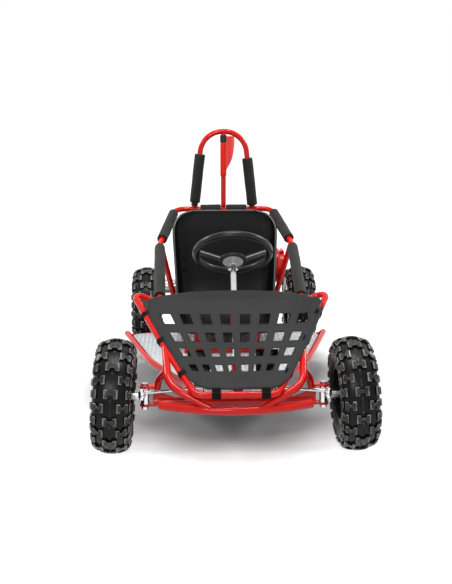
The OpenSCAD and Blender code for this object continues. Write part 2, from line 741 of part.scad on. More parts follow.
module axle_bearings() {
    color(BLACK) place() both_sides() at_rear_axle(rail_rear_x) difference() {
        union() {
            rotate([0, 90, 0]) cylinder(h = 26, r = 26, center = true);
            translate([-13, -44, rail_rear_z + rail_r - rear_z - 0.5]) cube([26, 88, 11]);
        }
        rotate([0, 90, 0]) cylinder(h = 30, r = axle_r + running, center = true);
    }
}
module brake_caliper() {
    color(BLACK) place() difference() {
        union() {
            translate([122, wheelbase - 78, 148]) cube([36, 38, 42]);
            translate([146, wheelbase - 78, rail_rear_z + 4]) cube([20, 12, 26]);
        }
        translate([disc_x - 3, wheelbase - 70, 140]) cube([6, 40, 60]);
        translate([150, lever_pivot.y, lever_pivot.z]) rotate([0, 90, 0]) cylinder(h = 20, r = 4 + running);
    }
}
lever_pivot = [160, wheelbase - 56, 176];
module brake_lever() {
    color(STEEL) place() {
        rod([151, lever_pivot.y, lever_pivot.z], [165, lever_pivot.y, lever_pivot.z], 4);
        translate([159, lever_pivot.y - 7, lever_pivot.z - 7]) cube([5, 14, 58]);
        rod([158.6, lever_pivot.y, lever_pivot.z + 46], [168, lever_pivot.y, lever_pivot.z + 46], 4.5);
    }
}

// Engine
module rounded(size, r) {
    translate([r, r, 0]) linear_extrude(size.z) offset(r, $fn = 32) square([size.x - 2 * r, size.y - 2 * r]);
}
module engine_cradle() {
    color(BLACK) place() {
        translate([-72, 900, cradle_z]) cube([196, 208, cradle_t]);
        translate([-72, 1102, rail_rear_z + 6]) cube([196, 6, cradle_z - rail_rear_z - 4]);
    }
}
block_z = cradle_z + cradle_t;
block_top = crank.z + 32;
module engine_block() {
    fins = 5;
    color(STEEL) place() {
        translate([engine_x.x, crank.y - 55, block_z])
            cube([engine_x.y - engine_x.x, 112, block_top - block_z]);
        for (i = [0 : fins - 1]) translate([-20, crank.y - 62, block_top + 2 + i * 7]) cube([104, 92, 3]);
        translate([-4, crank.y - 48, block_top - 1]) cube([72, 64, fins * 7 + 1]);
        rod([engine_x.y - 5, crank.y, crank.z], [fan_x.x - 0.3, crank.y, crank.z], 44);
    }
}
fan_r = 70;
fan_x = [150, 222];
module fan_housing() {
    rolled = 12;
    deep = fan_x.y - fan_x.x - rolled;
    color(PAINT) place() translate([fan_x.x, crank.y, crank.z]) rotate([0, 90, 0]) {
        cylinder(h = deep, r = fan_r);
        translate([0, 0, deep]) cylinder(h = rolled, r1 = fan_r, r2 = fan_r - rolled);
    }
}
module recoil_cover() {
    color(PAINT) place() translate([fan_x.y + 0.3, crank.y, crank.z]) rotate([0, 90, 0]) {
        cylinder(h = 16, r = 52);
        translate([-56, 0, 8]) rotate([90, 0, 0]) cylinder(h = 46, r = 7, center = true);
        translate([-51, -5, 2]) cube([10, 10, 10]);
    }
}
tank = [-30, 942, block_top + 35];
tank_size = [132, 82, 52];
module fuel_tank() {
    color(PAINT) place() {
        translate(tank) rounded(tank_size, 20);
        translate(tank + [66, 41, tank_size.z - 1]) cylinder(h = 7, r = 17);
    }
}
module fuel_cap() {
    color(BLACK) place() translate(tank + [66, 41, tank_size.z + 6.4]) {
        cylinder(h = 16, r = 22);
        translate([-20, -4, 15]) cube([40, 8, 6]);
    }
}
module muffler() {
    color(STEEL) place() {
        rod([-226, 950, 268], [-122, 950, 268], 27);
        tube([[-130, 945, 268], [-10, 945, 268], [-10, crank.y - 55.3, 268]], [0, 14, 0], 9);
    }
}
module air_cleaner() {
    color(BLACK) place() translate([-58, crank.y + 34, block_top + 0.3]) rounded([74, 54, 62], 12);
}
module clutch_drum() {
    color(STEEL) place() translate([0, crank.y, crank.z]) {
        translate([sprocket_x, 0, 0]) difference() {
            sprocket(clutch_teeth);
            rotate([0, 90, 0]) cylinder(h = 10, r = 10.1, center = true);
        }
        rod([sprocket_x + 9, 0, 0], [sprocket_x - 9, 0, 0], 10.2);
        rod([sprocket_x - 8, 0, 0], [sprocket_x - 44, 0, 0], 38);
        rod([sprocket_x + 8, 0, 0], [engine_x.x - 0.4, 0, 0], 9);
    }
}

// Chain: a plate band each side of the sprockets, tied by pins on its straight runs
big_r = sprocket_r(axle_teeth);
small_r = sprocket_r(clutch_teeth);
span = [crank.y - wheelbase, crank.z - rear_z];
lean = atan2(span.y, span.x);
wrap = acos((big_r - small_r) / norm(span));
function arc(centre, r, from, to, steps) =
    [for (i = [0 : steps]) centre + r * [cos(mix(from, to, i / steps)), sin(mix(from, to, i / steps))]];
function belt(shift) = concat(
    arc([0, 0], big_r + shift, lean + wrap, lean + 360 - wrap, 40),
    arc(span, small_r + shift, lean - wrap, lean + wrap, 16));
module drive_chain() {
    plate_t = 1.4;
    inner_gap = 3.4;
    pins = 5;
    color(STEEL) place() at_rear_axle(sprocket_x) {
        for (side = [-1, 1])
            translate([side * (inner_gap + plate_t / 2), 0, 0]) rotate([90, 0, 90])
                linear_extrude(plate_t, center = true) difference() {
                    polygon(belt(5.4));
                    polygon(belt(-5.4));
                }
        for (side = [-1, 1], i = [0 : pins - 1]) {
            way = lean + side * wrap;
            from = big_r * [cos(way), sin(way)];
            to = span + small_r * [cos(way), sin(way)];
            p = mix(from, to, 0.24 + 0.13 * i);
            rod([-inner_gap - plate_t / 2, p.x, p.y], [inner_gap + plate_t / 2, p.x, p.y], 2.2);
        }
    }
}

// Pedals
module pedal() {
    top = pedal_pivot + pedal_len * [0, sin(pedal_lean), cos(pedal_lean)];
    pad_half = 34;
    color(BLACK) {
        difference() {
            union() {
                rod(pedal_pivot - [11, 0, 0], pedal_pivot + [11, 0, 0], 8);
                bar(pedal_pivot, top, 12, 8);
                translate(top) rotate([-pedal_lean, 0, 0]) translate([-pad_half, -3, -62])
                    cube([2 * pad_half, 7, 66]);
            }
            rod(pedal_pivot - [14, 0, 0], pedal_pivot + [14, 0, 0], 4 + running);
        }
    }
}
module throttle_pedal() { place() translate([-pedal_x, 0, 0]) pedal(); }
module brake_pedal() { place() translate([pedal_x, 0, 0]) pedal(); }
module pedal_brackets() {
    floor_z = pan_z + pan_t;
    color(PAINT) place() for (x = [-pedal_x, pedal_x]) translate([x, 0, 0]) {
        for (side = [-1, 1]) translate([side * 13.4 - 2, pedal_pivot.y - 9, floor_z])
            cube([4, 18, pedal_pivot.z - floor_z + 9]);
        translate([-15.4, pedal_pivot.y - 14, floor_z]) cube([30.8, 28, 3]);
        rod([-17, pedal_pivot.y, pedal_pivot.z], [17, pedal_pivot.y, pedal_pivot.z], 4);
    }
}

main_rails();
cross_tubes();
front_axle_beam();
nose_loop();
nose_supports();
front_bumper();
cage_tube();
cage_struts();
rear_bumper();
floor_pan();
roll_hoop();
hoop_sockets();
hoop_post();
post_cap();
safety_flag();
hoop_pads();
arm_pads();
crossbar_pad();
nose_net();
net_straps();
column_supports();
kingpin_bolts();
pedal_brackets();
seat_shell();
seat_brackets();
seat_bolts();
axle_bearings();
engine_cradle();
engine_block();
fan_housing();
recoil_cover();
fuel_tank();
muffler();
air_cleaner();
brake_caliper();
drive_chain();
fuel_cap();
brake_lever();
steering_wheel();
steering_hub();
steering_shaft();
left_knuckle();
right_knuckle();
left_tie_rod();
right_tie_rod();
left_front_tyre();
left_front_rim();
left_wheel_bearings();
right_front_tyre();
right_front_rim();
right_wheel_bearings();
rear_axle_shaft();
rear_tyres();
rear_rims();
rear_hubs();
rear_sprocket();
brake_disc();
clutch_drum();
throttle_pedal();
brake_pedal();
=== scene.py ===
"""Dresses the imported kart: finishes, tread, net, pennant, foam, seat, chain, fasteners and stage."""
import math

import bmesh
import bpy
from bpy.props import FloatProperty, FloatVectorProperty, IntProperty, PointerProperty
from mathutils import Matrix, Vector, noise


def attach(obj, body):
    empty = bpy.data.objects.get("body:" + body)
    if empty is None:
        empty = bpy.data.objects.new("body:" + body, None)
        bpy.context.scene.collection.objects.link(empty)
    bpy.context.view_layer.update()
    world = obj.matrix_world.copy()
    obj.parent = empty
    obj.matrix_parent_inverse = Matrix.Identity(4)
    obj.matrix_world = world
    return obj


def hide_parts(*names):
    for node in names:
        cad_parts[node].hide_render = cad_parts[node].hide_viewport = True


bl_info = {
    "name": "Off-road kart dressing",
    "version": (1, 0, 0),
    "blender": (4, 5, 0),
    "location": "View3D > Sidebar > Kart",
    "description": "Finishes a packed off-road kart frame with tread, net, foam, seat and fittings",
    "category": "Object",
}

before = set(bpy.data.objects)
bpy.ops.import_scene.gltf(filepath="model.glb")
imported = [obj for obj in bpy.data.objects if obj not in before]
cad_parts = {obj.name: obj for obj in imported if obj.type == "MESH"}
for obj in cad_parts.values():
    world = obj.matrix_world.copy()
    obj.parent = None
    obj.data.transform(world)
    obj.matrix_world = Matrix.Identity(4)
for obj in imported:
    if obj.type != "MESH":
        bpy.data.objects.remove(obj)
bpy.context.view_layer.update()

MM = 0.001
WHEELBASE = 1000.0
FRONT_TRACK = 692.0
REAR_TRACK = 596.0
CAMBER = math.radians(3.5)
FRONT_WHEEL_Z = 165.62
REAR_WHEEL_Z = 165.0
CAGE_R = 10.0

# The nose loop lies in a plane that slopes up towards the driver
NOSE_SLOPE = math.radians(25)
NOSE_Y, NOSE_Z = -142.0, 214.0
NOSE_HALF = ((112.0, 0.0), (213.0, 224.0), (306.0, 456.0))
# The net's side as (half width, place up the slope), and half of its lower and upper edges
NET_SIDE = ((150.0, 72.0), (164.0, 100.0), (189.0, 159.0), (219.0, 222.0), (267.0, 346.0))
NET_FOOT = ((0.0, 7.0), (88.0, 9.0), (112.0, 20.0), (133.0, 42.0), (150.0, 72.0))
NET_HEAD = ((0.0, 446.0), (60.0, 445.0), (140.0, 440.0), (205.0, 426.0), (246.0, 411.0), (272.0, 391.0))
NET_ROWS = (98.0, 164.0, 231.0, 312.0)
NET_COLUMNS = 8

CROSSBAR = (985.0, 563.0)
HOOP_FOOT, HOOP_HEAD = (112.0, 566.0), (79.0, 856.0)
CAGE_ROUTE = ((222.0, 276.0, 383.0), (235.0, 700.0, 478.0), (184.0, 985.0, 563.0))
# Foam on each hoop leg: side, lower end and upper end
LEG_PADS = ((-1, 589.0, 771.0), (1, 579.0, 756.0))

# Steering: the column runs down and forwards from the wheel's centre
WHEEL_CENTRE = (12.0, 420.0, 498.0)
COLUMN_SLOPE = math.radians(50)
COLUMN = Vector((0, -math.cos(COLUMN_SLOPE), -math.sin(COLUMN_SLOPE)))
STEERING_R, GRIP_R = 131.9, 12.2
SPOKE_ANGLES = (8, 172, 270)

# Half of the chequered area's outline, its bars' level and pitch,
# and a bar's half length, half width and height
PLATE_EDGE = (
    (112, 20), (134, 152), (250, 397), (337, 690), (328, 716), (324, 746), (308, 757), (168, 773))
BAR_LEVEL = 131.7
BAR_PITCH = 15.0
BAR = (7.4, 2.3, 1.3)

# Chain: its pitch, the teeth of both sprockets, and the clutch's place beside the axle
CHAIN_X, CHAIN_PITCH = -90.0, 12.7
AXLE_TEETH, CLUTCH_TEETH = 40, 10
CLUTCH_PLACE = (20.0, 170.0)

# Camera: focal length and picture height in pixels, sensor in millimetres
FOCAL_PIXELS, PICTURE_HEIGHT, SENSOR = 912.4, 584, 36.0
CAMERA_PLACE = (-112.7, -2493.7, 1060.9)
CAMERA_VIEW = (0.0343, 0.9724, -0.2309)
# Middle of the floor that takes shadows, and one over its reach, in metres
FLOOR_MIDDLE, FLOOR_REACH = (0.0, 0.04, 0.0), (1.56, 1.345, 0.0)
FLOOR_SIZE = 30.0

# Seat: place and height of its middle line, part of the half width, and rise of its sides
SEAT_ROWS = (
    (530, 206, 0.88, 24), (580, 184, 0.91, 62), (650, 173, 0.92, 88), (740, 175, 0.925, 104),
    (810, 206, 0.93, 112), (848, 280, 0.94, 110), (866, 370, 0.965, 96), (878, 450, 0.99, 76),
    (884, 498, 1.0, 54), (888, 524, 0.97, 38), (891, 544, 0.9, 24), (893, 558, 0.81, 12),
    (894, 569, 0.62, 5))


def linear(code):
    """An sRGB hex colour as linear red, green and blue."""
    parts = [int(code[i:i + 2], 16) / 255 for i in (1, 3, 5)]
    return tuple(c / 12.92 if c <= 0.04045 else ((c + 0.055) / 1.055) ** 2.4 for c in parts)


def spot(x, y, z):
    """A point given in millimetres, with y counted from the front axle."""
    return Vector((x, y - WHEELBASE / 2, z)) * MM


def on_nose(u, v, lift=0.0):
    """A point of the nose plane, u across, v up the slope and lift above it, in millimetres."""
    slope_cos, slope_sin = math.cos(NOSE_SLOPE), math.sin(NOSE_SLOPE)
    return spot(u, NOSE_Y + v * slope_cos - lift * slope_sin, NOSE_Z + v * slope_sin + lift * slope_cos)


def along(table, v):
    """The first number of (value, place) rows, read off at place v."""
    rows = sorted(table, key=lambda row: row[1])
    for (a, va), (b, vb) in zip(rows, rows[1:]):
        if v <= vb:
            return a + (b - a) * max(0.0, (v - va) / (vb - va))
    return rows[-1][0]


def smooth_step(x):
    x = min(1.0, max(0.0, x))
    return x * x * (3 - 2 * x)


def colour_choice(name, description, code):
    return FloatVectorProperty(
        name=name, description=description, subtype="COLOR", size=3, min=0, max=1, default=linear(code))


def millimetres(name, description, default, low, high):
    return FloatProperty(
        name=name, description=f"{description}, in millimetres", default=default, min=low, max=high)


def watts(name, description, default):
    return FloatProperty(name=name, description=description, unit="POWER", default=default, min=0)


class KartColours(bpy.types.PropertyGroup):
    paint: colour_choice("Paint", "Powder coat of the tubes", "#E2140A")
    foam: colour_choice("Foam", "Sleeves on the cage and hoop", "#1F1F1E")
    net: colour_choice("Net", "Coated cloth of the nose net", "#232222")
    pennant: colour_choice("Pennant", "Nylon of the flag", "#FF2E22")
    moulding: colour_choice("Moulding", "Seat and covers", "#0E0E0E")
    rubber: colour_choice("Rubber", "Tyres", "#0B0B0B")


class TyreSizes(bpy.types.PropertyGroup):
    half_width: millimetres("Half width", "Half the carcass width", 53.0, 48, 55)
    crown: millimetres("Crown", "Carcass radius at its middle", 157.0, 150, 158)
    knob: millimetres("Knob height", "Height of the tread blocks", 8.0, 3, 8)
    repeats: IntProperty(
        name="Repeats", description="Tread pitches round the tyre", default=13, min=8, max=20)


class NetSizes(bpy.types.PropertyGroup):
    lift: millimetres("Lift", "Height of the cloth above the loop's plane", 12.6, 11, 14)
    sag: millimetres("Sag", "Slack in the middle", 7.0, 0, 20)
    shift: millimetres("Shift", "How far the net hangs to one side", 8.0, -10, 12)
    thickness: millimetres("Thickness", "Cloth thickness", 1.2, 0.6, 2)


class PadSizes(bpy.types.PropertyGroup):
    arm: millimetres("Arm pads", "Outside diameter", 37.0, 32, 40)
    hoop: millimetres("Hoop pads", "Outside diameter", 40.0, 34, 42)
    crossbar: millimetres("Crossbar pad", "Outside diameter", 34.0, 30, 36)


class SeatSizes(bpy.types.PropertyGroup):
    half_width: millimetres("Half width", "Half the inside width", 186.0, 180, 188)
    wall: millimetres("Wall", "Thickness of the moulding", 5.0, 4, 6)


class StageLook(bpy.types.PropertyGroup):
    key: watts("Key lamp", "Power of the lamp overhead", 60.0)
    fill: watts("Fill lamp", "Power of the lamp in front", 44.0)
    rim: watts("Rim lamps", "Power of the lamps behind", 34.0)
    sky: FloatProperty(name="Sky", description="Strength of the surrounding light", default=0.28, min=0)


GROUPS = {
    "kart_colours": KartColours, "kart_tyres": TyreSizes, "kart_net": NetSizes,
    "kart_pads": PadSizes, "kart_seat": SeatSizes, "kart_stage": StageLook,
}


def add(tree, kind, inputs=None, **settings):
    """Adds a node, sets its settings, and fills or links its inputs."""
    made = tree.nodes.new(kind)
    for name, value in settings.items():
        setattr(made, name, value)
    for name, value in (inputs or {}).items():
        if isinstance(value, bpy.types.NodeSocket):
            tree.links.new(value, made.inputs[name])
        else:
            made.inputs[name].default_value = value
    return made


def blank_material(name):
    material = bpy.data.materials.new(name)
    material.use_nodes = True
    material.node_tree.nodes.clear()
    return material, material.node_tree


def rgba(colour, gain=1.0):
    return (*(min(1.0, c * gain) for c in colour), 1.0)


def per_mm(size):
    """Texture scale at which one feature is size millimetres across."""
    return 1 / (size * MM)


def noise_at(tree, place, size, detail, **more):
    """Noise with features size millimetres across."""
    return add(tree, "ShaderNodeTexNoise", {
        "Vector": place, "Scale": per_mm(size), "Detail": detail, **more}).outputs["Fac"]


def ribs_at(tree, place, size, way):
    """Straight ribs size millimetres apart."""
    return add(tree, "ShaderNodeTexWave", {"Vector": place, "Scale": per_mm(size) / 20},
               bands_direction=way).outputs["Fac"]


def tint(tree, part, first, second):
    """A colour that lies a part of the way from the first to the second."""
    return add(tree, "ShaderNodeMix", {"Factor": part, 6: first, 7: second}, data_type="RGBA").outputs[2]


def remap(tree, value, low, high, **more):
    """A value spread from low to high."""
    return add(tree, "ShaderNodeMapRange", {
        "Value": value, "To Min": low, "To Max": high, **more}).outputs["Result"]


def maths(tree, operation, *values):
    return add(tree, "ShaderNodeMath", dict(enumerate(values)), operation=operation).outputs[0]


def vector_maths(tree, operation, *values):
    return add(tree, "ShaderNodeVectorMath", dict(enumerate(values)), operation=operation).outputs


def relief(tree, height, strength, depth):
    """Normals of a bump depth millimetres deep."""
    return add(tree, "ShaderNodeBump", {
        "Height": height, "Strength": strength, "Distance": depth * MM}).outputs["Normal"]


def attribute(tree, name):
    return add(tree, "ShaderNodeAttribute", attribute_name=name).outputs["Fac"]


def start_material(name, chart="Object"):
    """An empty material, its tree, and the coordinates that its pattern follows."""
    material, tree = blank_material(name)
    return material, tree, add(tree, "ShaderNodeTexCoord").outputs[chart]


def end_material(material, colour, rough, normal, more):
    """Closes a material with one shader."""
    tree = material.node_tree
    shader = add(tree, "ShaderNodeBsdfPrincipled", {
        "Base Color": colour, "Roughness": rough, "Normal": normal, **more})
    add(tree, "ShaderNodeOutputMaterial", {"Surface": shader.outputs[0]})
    return material


def powder_coat(name, colour, orange_peel=1.4):
    """Powder-coated steel: a thick glossy skin with a faint orange peel and slight tone drift."""
    material, tree, place = start_material(name)
    drift = noise_at(tree, place, 90, 3)
    tone = tint(tree, drift, rgba(colour, 0.86), rgba(colour, 1.06))
    peel = relief(tree, noise_at(tree, place, orange_peel, 1), 0.06, 0.2)
    return end_material(material, tone, remap(tree, drift, 0.07, 0.13), peel, {
        "Specular IOR Level": 0.22, "Coat Weight": 0.08, "Coat Roughness": 0.04})


def foam_skin(name, colour):
    """Closed-cell foam tube: matt, finely pored, scuffed a little paler in patches."""
    material, tree, place = start_material(name)
    paleness = noise_at(tree, place, 28, 6, Roughness=0.65)
    tone = tint(tree, paleness, rgba(colour, 0.72), rgba(colour, 1.35))
    # Pores are under a millimetre; drawn at 1.6 mm so that they show
    pores = add(tree, "ShaderNodeTexVoronoi", {"Vector": place, "Scale": per_mm(1.6)}).outputs["Distance"]
    return end_material(material, tone, 0.72, relief(tree, pores, 0.25, 0.5), {
        "Specular IOR Level": 0.22, "Sheen Weight": 0.06, "Sheen Roughness": 0.5})


def coated_cloth(name, colour):
    """Vinyl-coated polyester: a shallow weave under a soft sheen, with a sewn hem line."""
    material, tree, place = start_material(name, "UV")
    # Threads are 0.5 mm apart; drawn at 2 mm so that they show
    weave = maths(tree, "MULTIPLY", ribs_at(tree, place, 2, "X"), ribs_at(tree, place, 2, "Y"))
    tone = tint(tree, noise_at(tree, place, 60, 4), rgba(colour, 0.8), rgba(colour, 1.2))
    near = maths(tree, "ABSOLUTE", maths(tree, "SUBTRACT", attribute(tree, "edge_mm"), 11.0))
    seam = remap(tree, near, 1.0, 0.0, **{"From Min": 0.7, "From Max": 1.8})
    sewn = tint(tree, seam, tone, rgba(colour, 0.45))
    sunk = relief(tree, maths(tree, "SUBTRACT", weave, seam), 0.3, 0.3)
    return end_material(material, sewn, 0.5, sunk, {"Specular IOR Level": 0.16})


def ripstop_nylon(name, colour):
    """Thin dyed nylon: bright, faintly gridded, with light caught in its folds."""
    material, tree, place = start_material(name, "UV")
    grid = add(tree, "ShaderNodeTexBrick", {
        "Vector": place, "Scale": per_mm(6), "Mortar Size": 0.04, "Brick Width": 1.0, "Row Height": 1.0,
        "Color1": rgba(colour), "Color2": rgba(colour, 0.96), "Mortar": rgba(colour, 0.8)}, offset=0.0)
    normal = relief(tree, grid.outputs["Fac"], 0.2, 0.2)
    return end_material(material, grid.outputs["Color"], 0.5, normal, {"Specular IOR Level": 0.15})


def moulded_plastic(name, colour, rough=0.4, grain=1.1, shine=0.3):
    """Moulded polyethylene: an even satin skin with a fine leather-like mould grain."""
    material, tree, place = start_material(name)
    skin = relief(tree, noise_at(tree, place, grain, 2), 0.12, 0.2)
    haze = noise_at(tree, place, 70, 4)
    tone = tint(tree, haze, rgba(colour, 0.85), rgba(colour, 1.15))
    satin = remap(tree, haze, rough - 0.06, rough + 0.08)
    return end_material(material, tone, satin, skin, {"Specular IOR Level": shine})


def tyre_rubber(name, colour):
    """Vulcanised rubber: black and softly shiny, with a painted highlight along the edges of its blocks."""
    material, tree, place = start_material(name)
    dust = noise_at(tree, place, 18, 5)
    tone = tint(tree, dust, rgba(colour, 0.6), rgba(colour, 1.3))
    # The pale, glossier block edges are a painted highlight, broken into patches by the noise
    edge_highlight = attribute(tree, "edge_highlight")
    patchy = remap(tree, dust, 0.3, 1.0, **{"From Min": 0.38, "From Max": 0.62})
    highlighted_edges = tint(tree, maths(tree, "MULTIPLY", edge_highlight, patchy), tone, rgba(linear("#B2B2AF")))
    fine = relief(tree, noise_at(tree, place, 0.9, 2), 0.1, 0.3)
    return end_material(material, highlighted_edges, remap(tree, dust, 0.26, 0.38), fine, {
        "Specular IOR Level": remap(tree, edge_highlight, 0.15, 0.5)})


def bare_metal(name, colour, rough, spangle, grit, metal=1.0):
    """Plated or cast metal: mirror-like tone broken by fine spangle and a soft relief."""
    material, tree, place = start_material(name)
    cells = noise_at(tree, place, spangle, 4)
    tone = tint(tree, cells, rgba(colour, 0.82), rgba(colour, 1.08))
    shine = remap(tree, cells, rough * 0.8, rough * 1.25)
    return end_material(material, tone, shine, relief(tree, cells, grit, 0.3), {"Metallic": metal})


def webbing(name, colour):
    """Woven strap: ribs across a matt black band."""
    material, tree, place = start_material(name, "UV")
    ribs = ribs_at(tree, place, 1.8, "Y")
    tone = tint(tree, ribs, rgba(colour, 0.7), rgba(colour, 1.3))
    return end_material(material, tone, 0.82, relief(tree, ribs, 0.4, 0.4), {"Specular IOR Level": 0.12})


FINISHES = {}


def make_finishes(colours):
    """One material for each finish on the kart, and one for the painted highlight on the seat's rim."""
    FINISHES.update({
        "paint": powder_coat("Red powder coat", colours.paint),
        "chrome": bare_metal("Chromed steel", linear("#DADCDE"), 0.14, 30.0, 0.0),
        "cover": powder_coat("Red sprayed enamel", colours.paint, 2.2),
        "enamel": powder_coat("Satin black enamel", linear("#191919")),
        "foam": foam_skin("Closed-cell foam", colours.foam),
        "cloth": coated_cloth("Vinyl-coated polyester", colours.net),
        "nylon": ripstop_nylon("Ripstop nylon", colours.pennant),
        "moulding": moulded_plastic("Moulded polyethylene", colours.moulding, 0.34, 1.1, 0.14),
        "socket": moulded_plastic("Moulded nylon", linear("#1B1B1B"), 0.4),
        "grip": moulded_plastic("Moulded polyurethane grip", linear("#080808"), 0.3, 2.0, 0.3),
        "rubber": tyre_rubber("Vulcanised tyre rubber", colours.rubber),
        "zinc": bare_metal("Zinc-plated steel", linear("#CFD1D3"), 0.26, 4.0, 0.05),
        "chequer": bare_metal("Rolled aluminium plate", linear("#E3ECEF"), 0.42, 9.0, 0.08, 0.45),
        # A paler, glossier moulding on the seat's bead, as a painted highlight along the rim
        "rim_highlight": moulded_plastic("Moulding edge painted paler as a highlight", linear("#3C3C3B"), 0.24, 2.0, 0.5),
        "hub": bare_metal("Die-cast alloy", linear("#BDBDBC"), 0.5, 2.4, 0.2, 0.6),
        "cast": bare_metal("Cast aluminium", linear("#A9A9A6"), 0.5, 1.6, 0.35),
        "oiled": bare_metal("Oiled chain steel", linear("#6C6A66"), 0.34, 3.0, 0.1),
        "web": webbing("Hook-and-loop webbing", linear("#0A0A0A")),
    })


CAD_FINISH = {
    "paint": ("main_rails", "cross_tubes", "front_axle_beam", "nose_loop", "nose_supports", "front_bumper",
              "cage_tube", "cage_struts", "rear_bumper", "roll_hoop", "hoop_post", "column_supports",
              "pedal_brackets", "seat_brackets"),
    "cover": ("fan_housing", "recoil_cover", "fuel_tank"),
    "enamel": ("axle_bearings", "engine_cradle", "brake_caliper", "left_front_rim", "right_front_rim",
               "rear_rims", "throttle_pedal", "brake_pedal"),
    "moulding": ("seat_shell", "seat_bolts"),
    "socket": ("hoop_sockets", "post_cap", "air_cleaner", "fuel_cap"),
    "chrome": ("steering_shaft", "left_tie_rod", "right_tie_rod"),
    "grip": ("steering_wheel",),
    "zinc": ("kingpin_bolts", "muffler", "brake_lever", "steering_hub", "left_knuckle", "right_knuckle",
             "left_wheel_bearings", "right_wheel_bearings", "rear_axle_shaft", "rear_hubs", "brake_disc"),
    "chequer": ("floor_pan",),
    "cast": ("engine_block",),
    "oiled": ("drive_chain", "rear_sprocket", "clutch_drum"),
    "foam": ("hoop_pads", "arm_pads", "crossbar_pad"),
    "cloth": ("nose_net",),
    "nylon": ("safety_flag",),
    "web": ("net_straps",),
    "rubber": ("left_front_tyre", "right_front_tyre", "rear_tyres"),
}


def mesh_object(name, verts, faces, finish, smooth=True):
    """A new object at the origin, with its place in its vertices."""
    mesh = bpy.data.meshes.new(name)
    mesh.from_pydata([tuple(v) for v in verts], [], faces)
    mesh.validate()
    for face in mesh.polygons:
        face.use_smooth = smooth
    mesh.materials.append(FINISHES[finish])
    made = bpy.data.objects.new(name, mesh)
    bpy.context.scene.collection.objects.link(made)
    return made


def grid_faces(rows, columns, first=0, wrap_rows=False, wrap_columns=False):
    """Quads of a grid of points, listed row by row."""
    faces = []
    for i in range(rows if wrap_rows else rows - 1):
        for j in range(columns if wrap_columns else columns - 1):
            a, b = i * columns, (i + 1) % rows * columns
            k = (j + 1) % columns
            faces.append((first + a + j, first + a + k, first + b + k, first + b + j))
    return faces


def ring_faces(rows, columns):
    """Quads of a grid that closes on itself both ways."""
    return grid_faces(rows, columns, wrap_rows=True, wrap_columns=True)


def bake_modifiers(made):
    """Applies an object's modifiers to its mesh."""
    evaluated = made.evaluated_get(bpy.context.evaluated_depsgraph_get())
    mesh = bpy.data.meshes.new_from_object(evaluated)
    made.modifiers.clear()
    old, made.data = made.data, mesh
    bpy.data.meshes.remove(old)


def bake_tree(made, tree, values):
    """Runs a node tree on an object and keeps the result as its plain mesh."""
    modifier = made.modifiers.new(tree.name, "NODES")
    modifier.node_group = tree
    for item in tree.interface.items_tree:
        if item.item_type == "SOCKET" and item.in_out == "INPUT" and item.name in values:
            modifier[item.identifier] = values[item.name]
    bake_modifiers(made)


def chart_of(made, flat):
    """Lays out an object's points by their places on the cut."""
    chart = made.data.uv_layers.new(name="cut")
    for loop in made.data.loops:
        chart.data[loop.index].uv = flat[loop.vertex_index]


def thicken(made, thickness):
    wall = made.modifiers.new("thickness", "SOLIDIFY")
    wall.thickness = thickness * MM
    wall.offset = 0
    bake_modifiers(made)


def join_into(first, others):
    """Joins objects into the first one."""
    bpy.ops.object.select_all(action="DESELECT")
    for made in (first, *others):
        made.select_set(True)
    bpy.context.view_layer.objects.active = first
    bpy.ops.object.join()
    return first


def start_tree(name, inputs):
    """A geometry tree with named inputs, a finish and one output, and its input sockets."""
    tree = bpy.data.node_groups.new(name, "GeometryNodeTree")
    for key, kind in {**inputs, "Finish": "Material"}.items():
        tree.interface.new_socket(key, in_out="INPUT", socket_type=f"NodeSocket{kind}")
    tree.interface.new_socket("Result", in_out="OUTPUT", socket_type="NodeSocketGeometry")
    return tree, add(tree, "NodeGroupInput").outputs


def end_tree(tree, given, shape):
    """Realizes what a tree makes and gives it its finish."""
    real = add(tree, "GeometryNodeRealizeInstances", {"Geometry": shape})
    done = add(tree, "GeometryNodeSetMaterial", {"Geometry": real.outputs[0], "Material": given["Finish"]})
    add(tree, "NodeGroupOutput", {"Result": done.outputs[0]})
    return tree


def set_out(tree, points, shape, **more):
    """A copy of a shape at each point."""
    return add(tree, "GeometryNodeInstanceOnPoints", {
        "Points": points, "Instance": shape, **more}).outputs[0]


def named(tree, name, kind="FLOAT"):
    return add(tree, "GeometryNodeInputNamedAttribute", {"Name": name}, data_type=kind).outputs[0]


def combined(tree, **parts):
    return add(tree, "ShaderNodeCombineXYZ", parts).outputs[0]


def cylinder(tree, sides, radius, depth):
    return add(tree, "GeometryNodeMeshCylinder", {
        "Vertices": sides, "Radius": radius, "Depth": depth}).outputs[0]


def moved(tree, shape, **how):
    return add(tree, "GeometryNodeTransform", {"Geometry": shape, **how}).outputs[0]


def joined(tree, shapes):
    whole = add(tree, "GeometryNodeJoinGeometry")
    for shape in shapes:
        tree.links.new(shape, whole.inputs[0])
    return whole.outputs[0]


def ring_tree():
    """Repeats one pitch of the tread round the X axis."""
    tree, given = start_tree("ring_of_pitches", {"Pitch": "Geometry", "Repeats": "Int"})
    points = add(tree, "GeometryNodePoints", {"Count": given["Repeats"]}).outputs[0]
    step = maths(tree, "DIVIDE", math.tau, given["Repeats"])
    angle = maths(tree, "MULTIPLY", add(tree, "GeometryNodeInputIndex").outputs[0], step)
    ring = set_out(tree, points, given["Pitch"], Rotation=combined(tree, X=angle))
    return end_tree(tree, given, ring)


